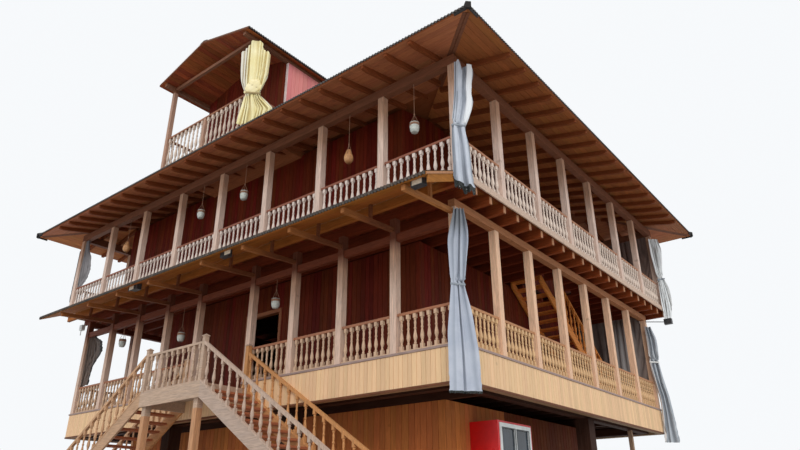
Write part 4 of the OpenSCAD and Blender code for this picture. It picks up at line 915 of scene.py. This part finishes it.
class Drape:
    """A gathered curtain: a flat cloth of known width in k pleats between its left and right outline.

    Its places are w across from the origin along e, d out from it, and z. The cloth has nu by nv points.
    Clear gives (height, least w + d), top gives (share of the width, fall of the upper edge)."""

    def __init__(self, name, look, origin, e, out, depth, left, right, tie, width, k, seed, clear=None,
                 top=(), nu=61, nv=96, lean=0.0, skew=0.25, held="gathered", shift=0.0, drift=0.0,
                 widen=(1.0, 1.0)):
        self.name, self.o, self.e, self.out, self.depth, self.clear = name, origin, e, out, depth, clear
        self.nu, self.nv, self.width, self.tie, self.held = nu, nv, width, tie, held
        rnd = random.Random(seed)
        u, s = np.linspace(0, 1, nu), np.linspace(0, 1, nv)
        zl0, zl1, zr0, zr1 = left[0][1], left[-1][1], right[0][1], right[-1][1]
        self.tie_row, waist = None, 0.5
        zl, zr = zl0 + (zl1 - zl0) * s, zr0 + (zr1 - zr0) * s
        if tie:
            waist = (zl0 - tie[0]) / (zl0 - zl1)
            zl, zr = (np.interp(s, [0, waist, 1], q) for q in ([zl0, tie[0], zl1], [zr0, tie[1], zr1]))
            self.tie_row = int(round(waist * (nv - 1)))
        soften = [0.06, 0.12, 0.2, 0.24, 0.2, 0.12, 0.06]
        wl, wr = (np.convolve(np.pad(across(q, zq), 3, "edge"), soften, "valid")
                  for q, zq in ((left, zl), (right, zr)))
        self.wl, self.wr = wl, wr
        bends = [(rnd.uniform(0.02, 0.05), rnd.randint(1, 3), rnd.uniform(0, 6.3)) for _ in range(3)]
        w, d, z = (np.zeros((nv, nu)) for _ in range(3))
        bulge = np.sin(math.pi * u)
        for j in range(nv):
            wide = float(np.interp(s[j], [0, waist, 1], [widen[0], widen[0], widen[1]]))
            sway = sum(a * np.sin(2 * math.pi * f * u + q + 1.2 * s[j]) for a, f, q in bends)
            warp = u ** wide + sway * bulge
            turn = 2 * math.pi * k * warp + shift + drift * s[j] + lean * math.sin(2.5 * s[j] + seed)
            wave = np.sin(turn) + 0.22 * np.sin(2 * turn + 0.8)
            wave /= np.abs(wave).max()
            b = wr[j] - wl[j]
            place = b * u - skew * b / k * np.sin(2 * turn) * 0.5 * bulge ** 0.5
            lo, hi = 0.0, depth / 2 - 0.008
            for _ in range(24):     # pleat depth that takes up the whole width of the cloth
                amp = (lo + hi) / 2
                length = np.hypot(np.diff(place), amp * np.diff(wave)).sum()
                lo, hi = (amp, hi) if length < width else (lo, amp)
            fade = 0.75 + 0.25 * np.sin(3.1 * u * math.pi + seed + 2 * s[j])
            w[j], d[j] = wl[j] + place, depth / 2 + amp * wave * fade
            z[j] = zl[j] + (zr[j] - zl[j]) * u
        if top:
            fall = np.interp(u, [q[0] for q in top], [q[1] for q in top])
            z -= fall[None, :] * np.clip(1 - s / (waist if tie else 1), 0, 1)[:, None] ** 1.5
        self.w0, self.d0, self.z0 = w, d, z
        crest = (d - d.min(axis=1, keepdims=True)) / np.maximum(np.ptp(d, axis=1, keepdims=True), 1e-4)
        co = self.place(w, d, z)
        self.length = float(np.linalg.norm(np.diff(co.reshape(nv, nu, 3), axis=0), axis=2).sum(0).mean())
        faces = [(j * nu + i, (j + 1) * nu + i, (j + 1) * nu + i + 1, j * nu + i + 1)
                 for j in range(nv - 1) for i in range(nu - 1)]
        self.ob = add_mesh(name, co, faces, look, True)
        # crest runs from 0 in a fold's trough to 1 on its ridge; the cloth looks darken the troughs with it
        # as painted shade
        add_tint(self.ob, grey(crest))
        add_flat_map(self.ob, lambda v: (v % nu / (nu - 1) * width, v // nu / (nv - 1) * self.length))
        CLOTHS.append(self)

    def keep(self, w, d, z):
        """The same fold squeezed into the room that the cloth has at each height."""
        low = np.full_like(d, SKIN)
        if self.clear is not None:
            zs, least = zip(*self.clear)
            low = np.maximum(low, np.interp(-z, [-q for q in zs], least) - w)
        high = self.depth - FRONT
        low = np.minimum(low, high - FRONT)
        return low + (np.clip(d, SKIN, high) - SKIN) * (high - low) / (high - SKIN)

    def spot(self, w, d, z):
        x, y = (self.o[i] + self.e[i] * w + self.out[i] * d for i in (0, 1))
        return np.stack([x, y, z], 2).reshape(-1, 3)

    def place(self, w, d, z):
        return self.spot(w, self.keep(w, d, z), z)

    def pin(self):
        """Held hard at the rod and the tie, softly elsewhere."""
        hard, soft, side = 1.0, 0.1, 1.0 if self.held == "hung" else 0.3
        ob, nu, nv = self.ob, self.nu, self.nv
        g = ob.vertex_groups.new(name="held")
        for j in range(nv):
            tied = j == 0 or (self.tie_row is not None and abs(j - self.tie_row) <= 1)
            g.add(list(range(j * nu, (j + 1) * nu)), hard if tied else soft, "REPLACE")
        g.add([j * nu + i for j in range(nv) for i in (0, nu - 1)], side, "REPLACE")
        c = ob.modifiers.new("Cloth", "CLOTH")
        for key, value in {"quality": 5, "mass": 0.25, "tension_stiffness": 12, "compression_stiffness": 12,
                           "bending_stiffness": 0.4, "shear_stiffness": 4, "vertex_group_mass": "held",
                           "pin_stiffness": 1.0, "shrink_min": -0.035}.items():
            setattr(c.settings, key, value)
        c.collision_settings.use_collision = False
        c.collision_settings.use_self_collision = False
        return c

    def settle(self, co):
        """Back into the space the curtain has, then written to the mesh."""
        beyond, sideways, most = 0.015, 0.035, 0.03
        rel = co[:, :2] - np.array(self.o)[None, :]
        w, d = ((rel @ np.array(q)).reshape(self.nv, self.nu) for q in (self.e, self.out))
        z = co[:, 2].reshape(self.nv, self.nu)
        lo, hi = np.minimum(self.wl, self.wr)[:, None], np.maximum(self.wl, self.wr)[:, None]
        w = np.clip(w, lo - beyond, hi + beyond)
        w = self.w0 + np.clip(w - self.w0, -sideways, sideways)
        z = self.z0 + np.clip(z - self.z0, -most, most)
        d = self.d0 + np.clip(d - self.keep(self.w0, self.d0, self.z0), -most, most)
        self.ob.data.vertices.foreach_set("co", self.place(w, d, z).astype(np.float32).ravel())
        self.ob.data.update()

    def rows(self):
        return read_points(self.ob.data).reshape(self.nv, self.nu, 3)

    def tie_band(self, high, look, thick=0.006, gap=0.0018):
        """A flat tie wrapped round the waist of the curtain."""
        pts = self.rows()[self.tie_row - 2:self.tie_row + 3].reshape(-1, 3)
        flat = sorted({(round(float(q[0]), 4), round(float(q[1]), 4)) for q in pts})

        def half_hull(seq):
            out = []
            for q in seq:
                while len(out) > 1:
                    a, b = out[-2:]
                    if (b[0] - a[0]) * (q[1] - a[1]) - (b[1] - a[1]) * (q[0] - a[0]) > 0:
                        break
                    out.pop()
                out.append(q)
            return out[:-1]

        ring = [V(q) for q in half_hull(flat) + half_hull(flat[::-1])]
        for _ in range(3):
            pairs = zip(ring, ring[1:] + ring[:1])
            ring = [r for a, b in pairs for r in (a * 0.75 + b * 0.25, a * 0.25 + b * 0.75)]
        mid = sum(ring, V((0, 0))) / len(ring)
        left, right = float(self.wl[self.tie_row]), float(self.wr[self.tie_row])
        rise = self.tie[1] - self.tie[0]
        level = float(pts[:, 2].mean())
        verts, faces, n = [], [], len(ring)
        profile = [(0.0, -0.5), (0.8, -0.46), (1.0, -0.2), (0.85, 0.0), (1.0, 0.2), (0.8, 0.46), (0.0, 0.5)]
        for q in ring:
            r = (q - mid).normalized()
            for a, b in profile:
                g = q + r * (gap + thick * a)
                share = ((q - V(self.o)).dot(V(self.e)) - left) / max(0.05, right - left)
                verts.append((g.x, g.y, level + rise * (share - 0.5) + high * b))
        m = len(profile)
        for i in range(n):
            for j in range(m):
                a, b = i * m + j, ((i + 1) % n) * m + j
                a2, b2 = i * m + (j + 1) % m, ((i + 1) % n) * m + (j + 1) % m
                faces.append((a, b, b2, a2))
        return add_piece(self.name + "_tie", verts, faces, look, True)

    def edging(self, drop, scallops):
        """Lace along the hem, with a scalloped lower edge."""
        verts, faces = [], []
        hem = self.rows()[-1]
        n = len(hem)
        for i, q in enumerate(hem):
            low = drop * (0.62 + 0.38 * abs(math.sin(math.pi * scallops * i / (n - 1))))
            for f in (0.0, 0.35, 0.7, 1.0):
                verts.append((float(q[0]), float(q[1]), float(q[2]) + 0.004 - low * f))
        for a in range(0, 4 * (n - 1), 4):
            faces += [(a + f, a + f + 1, a + f + 5, a + f + 4) for f in range(3)]
        ob = add_piece(self.name + "_hem", verts, faces, "lace", True)
        add_flat_map(ob, lambda v: (v // 4 / (n - 1) * self.width, v % 4 / 3 * drop))
        return ob


def knot(name, c, w, z, half_w, half_z, look):
    """A tied lump of curtain c: wraps that cross in front, with deep creases between them."""
    n, m = 96, 64
    i, j = np.meshgrid(np.arange(m + 1), np.arange(n), indexing="ij")
    t, a = math.pi * i / m, 2 * math.pi * j / n
    crease = np.abs(np.sin(1.5 * a + 2.6 * t)) ** 0.6 * 0.6
    crease += np.abs(np.sin(2.5 * a - 3.4 * t + 0.7)) ** 0.7 * 0.4
    r = np.sin(t) ** 0.6 * (0.80 + 0.22 * crease)
    ww = w + half_w * r * np.cos(a) * (1 - 0.18 * np.cos(t)) + 0.03 * np.cos(t)
    dd = np.clip(c.depth / 2 + c.depth * 0.5 * r * np.sin(a), 0.006, c.depth - 0.004)
    zz = z + half_z * np.cos(t) * (0.92 + 0.10 * crease) + 0.05 * np.sin(t) * np.cos(a)
    faces = [(p * n + q, (p + 1) * n + q, (p + 1) * n + (q + 1) % n, p * n + (q + 1) % n)
             for p in range(m) for q in range(n)]
    ob = add_piece(name, c.spot(ww, dd, zz), faces, look, True)
    # the creases feed the same attribute, for the painted shade in the knot's folds
    add_tint(ob, grey(crease))
    return ob


def mirrored(ob, name):
    me = ob.data.copy()
    me.name = name
    me.vertices.foreach_set("co", (read_points(me) * (-1, 1, 1)).astype(np.float32).ravel())
    me.flip_normals()
    me.update()
    twin = bpy.data.objects.new(name, me)
    bpy.context.scene.collection.objects.link(twin)
    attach(twin, "root")
    return twin


def simulate():
    """All cloths move together for 25 frames, then each is put back into its own space."""
    frames = 25
    sc = bpy.context.scene
    mods = [c.pin() for c in CLOTHS]
    for f in range(1, frames + 1):
        sc.frame_set(f)
    deps = bpy.context.evaluated_depsgraph_get()
    ends = [read_points(c.ob.evaluated_get(deps).data).astype(float) for c in CLOTHS]
    for c, mod, co in zip(CLOTHS, mods, ends):
        c.ob.modifiers.remove(mod)
        c.ob.vertex_groups.clear()
        c.settle(co)
    sc.frame_set(1)


def clearance(near, knee, foot, step):
    """Least w + d of a curtain: near above the knee height, step below the foot height."""
    return [(99, near), (knee, near), (foot, step), (0, step)]


def curtains():
    h = math.sqrt(0.5)
    corner, face = ((h, h), (h, -h)), ((1.0, 0.0), (0.0, -1.0))
    near_up = Drape(
        "curtain_near_upper", "cloth_up", (7.275, -5.675), *corner, 0.2,
        [(0.0, 9.28), (-0.03, 8.6), (-0.121, 7.745), (-0.139, 7.257), (-0.144, 6.7), (-0.13, 6.63)],
        [(0.37, 9.2), (0.388, 9.092), (0.302, 8.67), (0.352, 8.418), (0.145, 7.745), (0.219, 7.438),
         (0.251, 6.718), (0.27, 6.53)],
        (7.745, 7.745), 0.86, 2, 4, clearance(0.0, 7.25, 6.95, 0.056),
        top=[(0, 0.0), (0.2, 0.0), (0.36, 0.34), (0.5, 0.05), (1, 0.03)],
        shift=-1.57, widen=(1.0, 1.7), skew=0.2)
    near_lo = Drape(
        "curtain_near_lower", "cloth", (6.835, -5.185), *corner, 0.12,
        [(-0.04, 6.4), (-0.048, 6.32), (-0.134, 6.046), (-0.191, 5.743), (-0.15, 4.88), (-0.241, 4.06),
         (-0.245, 3.06)],
        [(0.146, 6.4), (0.221, 6.001), (0.21, 5.76), (0.094, 4.88), (0.216, 4.43), (0.299, 3.691),
         (0.314, 3.06)],
        (4.88, 4.88), 0.82, 3, 7, clearance(0.0, 4.2, 3.95, 0.045), lean=0.5, skew=0.05, shift=0.6, drift=0.8)
    far_up = Drape(
        "curtain_far_upper", "cloth_fold", (7.275, 5.525), *corner, 0.17,
        [(-0.15, 9.13), (-0.15, 8.56), (-0.08, 8.15), (-0.041, 7.86), (-0.032, 7.65), (-0.079, 7.03),
         (-0.044, 6.5)],
        [(0.187, 9.16), (0.3, 8.87), (0.269, 8.62), (0.18, 8.2), (0.13, 7.88), (0.285, 7.56), (0.3, 7.03),
         (0.158, 6.5)],
        (7.78, 7.82), 0.95, 4, 9, clearance(0.008, 7.25, 6.95, 0.056), drift=-8.0)
    far_lo = Drape(
        "curtain_far_lower", "cloth_far", (6.835, 5.035), *corner, 0.15,
        [(-0.095, 6.26), (-0.086, 5.75), (-0.12, 5.2), (-0.07, 4.83), (0.06, 4.25), (0.057, 3.8),
         (-0.019, 2.99)],
        [(0.089, 6.26), (0.244, 5.93), (0.232, 5.75), (0.178, 5.2), (0.225, 4.83), (0.345, 4.25),
         (0.375, 3.8), (0.415, 2.99)],
        (5.2, 5.2), 0.8, 2.5, 12, clearance(0.008, 4.2, 3.95, 0.042), lean=0.4, shift=-1.0)
    Drape(
        "curtain_left_lower", "cloth_dark", (0.0, -5.07), *face, 0.08, [(-6.683, 6.14), (-6.683, 4.7)],
        [(-6.33, 6.14), (-5.83, 5.96), (-5.736, 5.628), (-6.218, 5.222), (-6.25, 4.7)],
        None, 1.1, 6, 15, nu=97, nv=70, skew=0.1)
    Drape(
        "curtain_left_upper", "cloth_grey", (0.0, -5.56), *face, 0.08, [(-7.122, 9.3), (-7.122, 7.76)],
        [(-6.98, 9.3), (-6.836, 8.933), (-6.585, 8.664), (-6.486, 8.237), (-6.656, 7.879), (-6.9, 7.76)],
        None, 0.78, 5, 18, nu=81, nv=60, skew=0.1)
    Drape(
        "curtain_left_strip", "cloth_grey", (-7.277, -5.6), (0.0, 1.0), (-1.0, 0.0), 0.085,
        [(-0.072, 9.0), (-0.072, 7.3)], [(0.072, 9.0), (0.072, 7.3)], None, 0.5, 3, 21, nu=41, nv=60)
    hang_lo = Drape(
        "hanging_far_lower", "hanging_lo", (0.0, 5.0335), *face, 0.056, [(3.99, 6.63), (3.99, 3.92)],
        [(6.675, 6.63), (6.675, 6.5), (6.70, 6.46), (6.70, 3.92)],
        None, 2.98, 15, 24, nu=151, nv=50, held="hung", skew=0.1)
    hang_up = Drape(
        "hanging_far_upper", "hanging", (0.0, 5.5235), *face, 0.056, [(5.49, 9.29), (5.49, 6.99)],
        [(7.15, 9.29), (7.15, 6.99)], None, 1.82, 10, 27, nu=105, nv=50, held="hung", skew=0.1)
    bel = Drape(
        "curtain_belvedere", "yellow", (1.675, -6.355), *corner, 0.12,
        [(-0.279, 11.97), (-0.27, 11.8), (-0.24, 11.4), (-0.19, 11.05), (-0.11, 10.8), (-0.05, 10.66),
         (-0.12, 10.4), (-0.204, 9.79)],
        [(0.451, 12.02), (0.45, 11.7), (0.43, 11.311), (0.35, 11.04), (0.29, 10.85), (0.26, 10.66),
         (0.46, 10.5), (0.66, 10.306), (0.6, 9.83)],
        (10.66, 10.66), 1.5, 8, 30, nu=99, nv=100, lean=0.5,
        top=[(0, 0.06), (0.1, 0.0), (0.22, -0.12), (0.34, -0.32), (0.55, -0.33), (0.68, -0.28), (0.76, -0.02),
             (0.88, 0.0), (1, 0.1)])
    simulate()
    ties = {bel: (0.05, "yellow_knot"), far_lo: (0.04, "tie_pale")}
    laces = {near_up: (0.17, 7), near_lo: (0.05, 13)}
    for c in CLOTHS:
        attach(c.ob, "root")
        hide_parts("belvedere_curtain" if c is bel else "gallery_curtains")
        parts = []
        if c is bel:
            parts.append(knot("curtain_belvedere_knot", c, 0.10, 10.87, 0.20, 0.22, "yellow_knot"))
        if c.tie_row is not None:
            parts.append(c.tie_band(*ties.get(c, (0.04, "tie"))))
        if c in laces:
            parts.append(c.edging(*laces[c]))
        held_by = "lower_beams" if "low" in c.name else "eave_plates"
        if c is bel:
            held_by = "belvedere_frame"
        if c in (far_up, far_lo, hang_lo, hang_up):
            twin, *parts = (mirrored(q, q.name.replace("far", "rear_left")) for q in [c.ob] + parts)
            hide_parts("gallery_curtains")


def stage():
    sc = bpy.context.scene
    sc.view_settings.view_transform = "Standard"
    world = bpy.data.worlds.new("studio")
    sc.world = world
    world.use_nodes = True
    nodes, link = world.node_tree.nodes, world.node_tree.links.new
    nodes.clear()
    out = nodes.new("ShaderNodeOutputWorld")
    light, seen, mix = (nodes.new("ShaderNode" + k) for k in ("Background", "Background", "MixShader"))
    light.inputs[0].default_value = (0.92, 0.96, 1.0, 1)
    light.inputs[1].default_value = 0.83
    seen.inputs[0].default_value = (0.93, 0.95, 0.97, 1)
    seen.inputs[1].default_value = 1.0
    path = nodes.new("ShaderNodeLightPath")
    a, b = (nodes.new("ShaderNodeMath") for _ in range(2))
    a.operation = b.operation = "MAXIMUM"
    for source, socket in (
            (path.outputs["Is Camera Ray"], a.inputs[0]), (path.outputs["Is Glossy Ray"], a.inputs[1]),
            (a.outputs[0], b.inputs[0]), (path.outputs["Is Transmission Ray"], b.inputs[1]),
            (b.outputs[0], mix.inputs[0]), (light.outputs[0], mix.inputs[1]),
            (seen.outputs[0], mix.inputs[2]), (mix.outputs[0], out.inputs[0])):
        link(source, socket)

    half, level = 70, -0.002
    me = bpy.data.meshes.new("studio_floor")
    corners = [(half * i, half * j, level) for i, j in ((-1, -1), (1, -1), (1, 1), (-1, 1))]
    me.from_pydata(corners, [], [(0, 1, 2, 3)])
    floor = bpy.data.objects.new("studio_floor", me)
    sc.collection.objects.link(floor)
    me.materials.append(plain("studio_floor_paint", "c4c4c2", "c0c0be", 0.4, 0.8, 0.05, 0.05, 0.001))

    sun = bpy.data.lights.new("soft_sun", "SUN")
    sun.energy, sun.angle, sun.color = 1.6, math.radians(50), (1, 0.985, 0.96)
    lamp = bpy.data.objects.new("soft_sun", sun)
    lamp.rotation_euler = V((-0.55, 0.62, -0.75)).to_track_quat("-Z", "Y").to_euler()
    sc.collection.objects.link(lamp)

    # the photograph's camera
    cam = bpy.data.cameras.new("photo_view")
    cam.sensor_width, cam.lens, cam.clip_end = 36, 36 * 642.52 / 800, 300
    eye = bpy.data.objects.new("photo_view", cam)
    right, down = V((0.78267, 0.62242, -0.00474)), V((-0.25861, 0.31825, -0.91205))
    forward = V((-0.56617, 0.71506, 0.41005))
    rot = Matrix((right, -down, -forward)).transposed().to_4x4()
    rot.translation = V((12.7992, -14.3801, 1.1793))
    eye.matrix_world = rot
    sc.collection.objects.link(eye)
    sc.camera = eye


dress_cad()
soffits()
sheets()
boarding()
belvedere()
small_parts()
lanterns()
curtains()
stage()
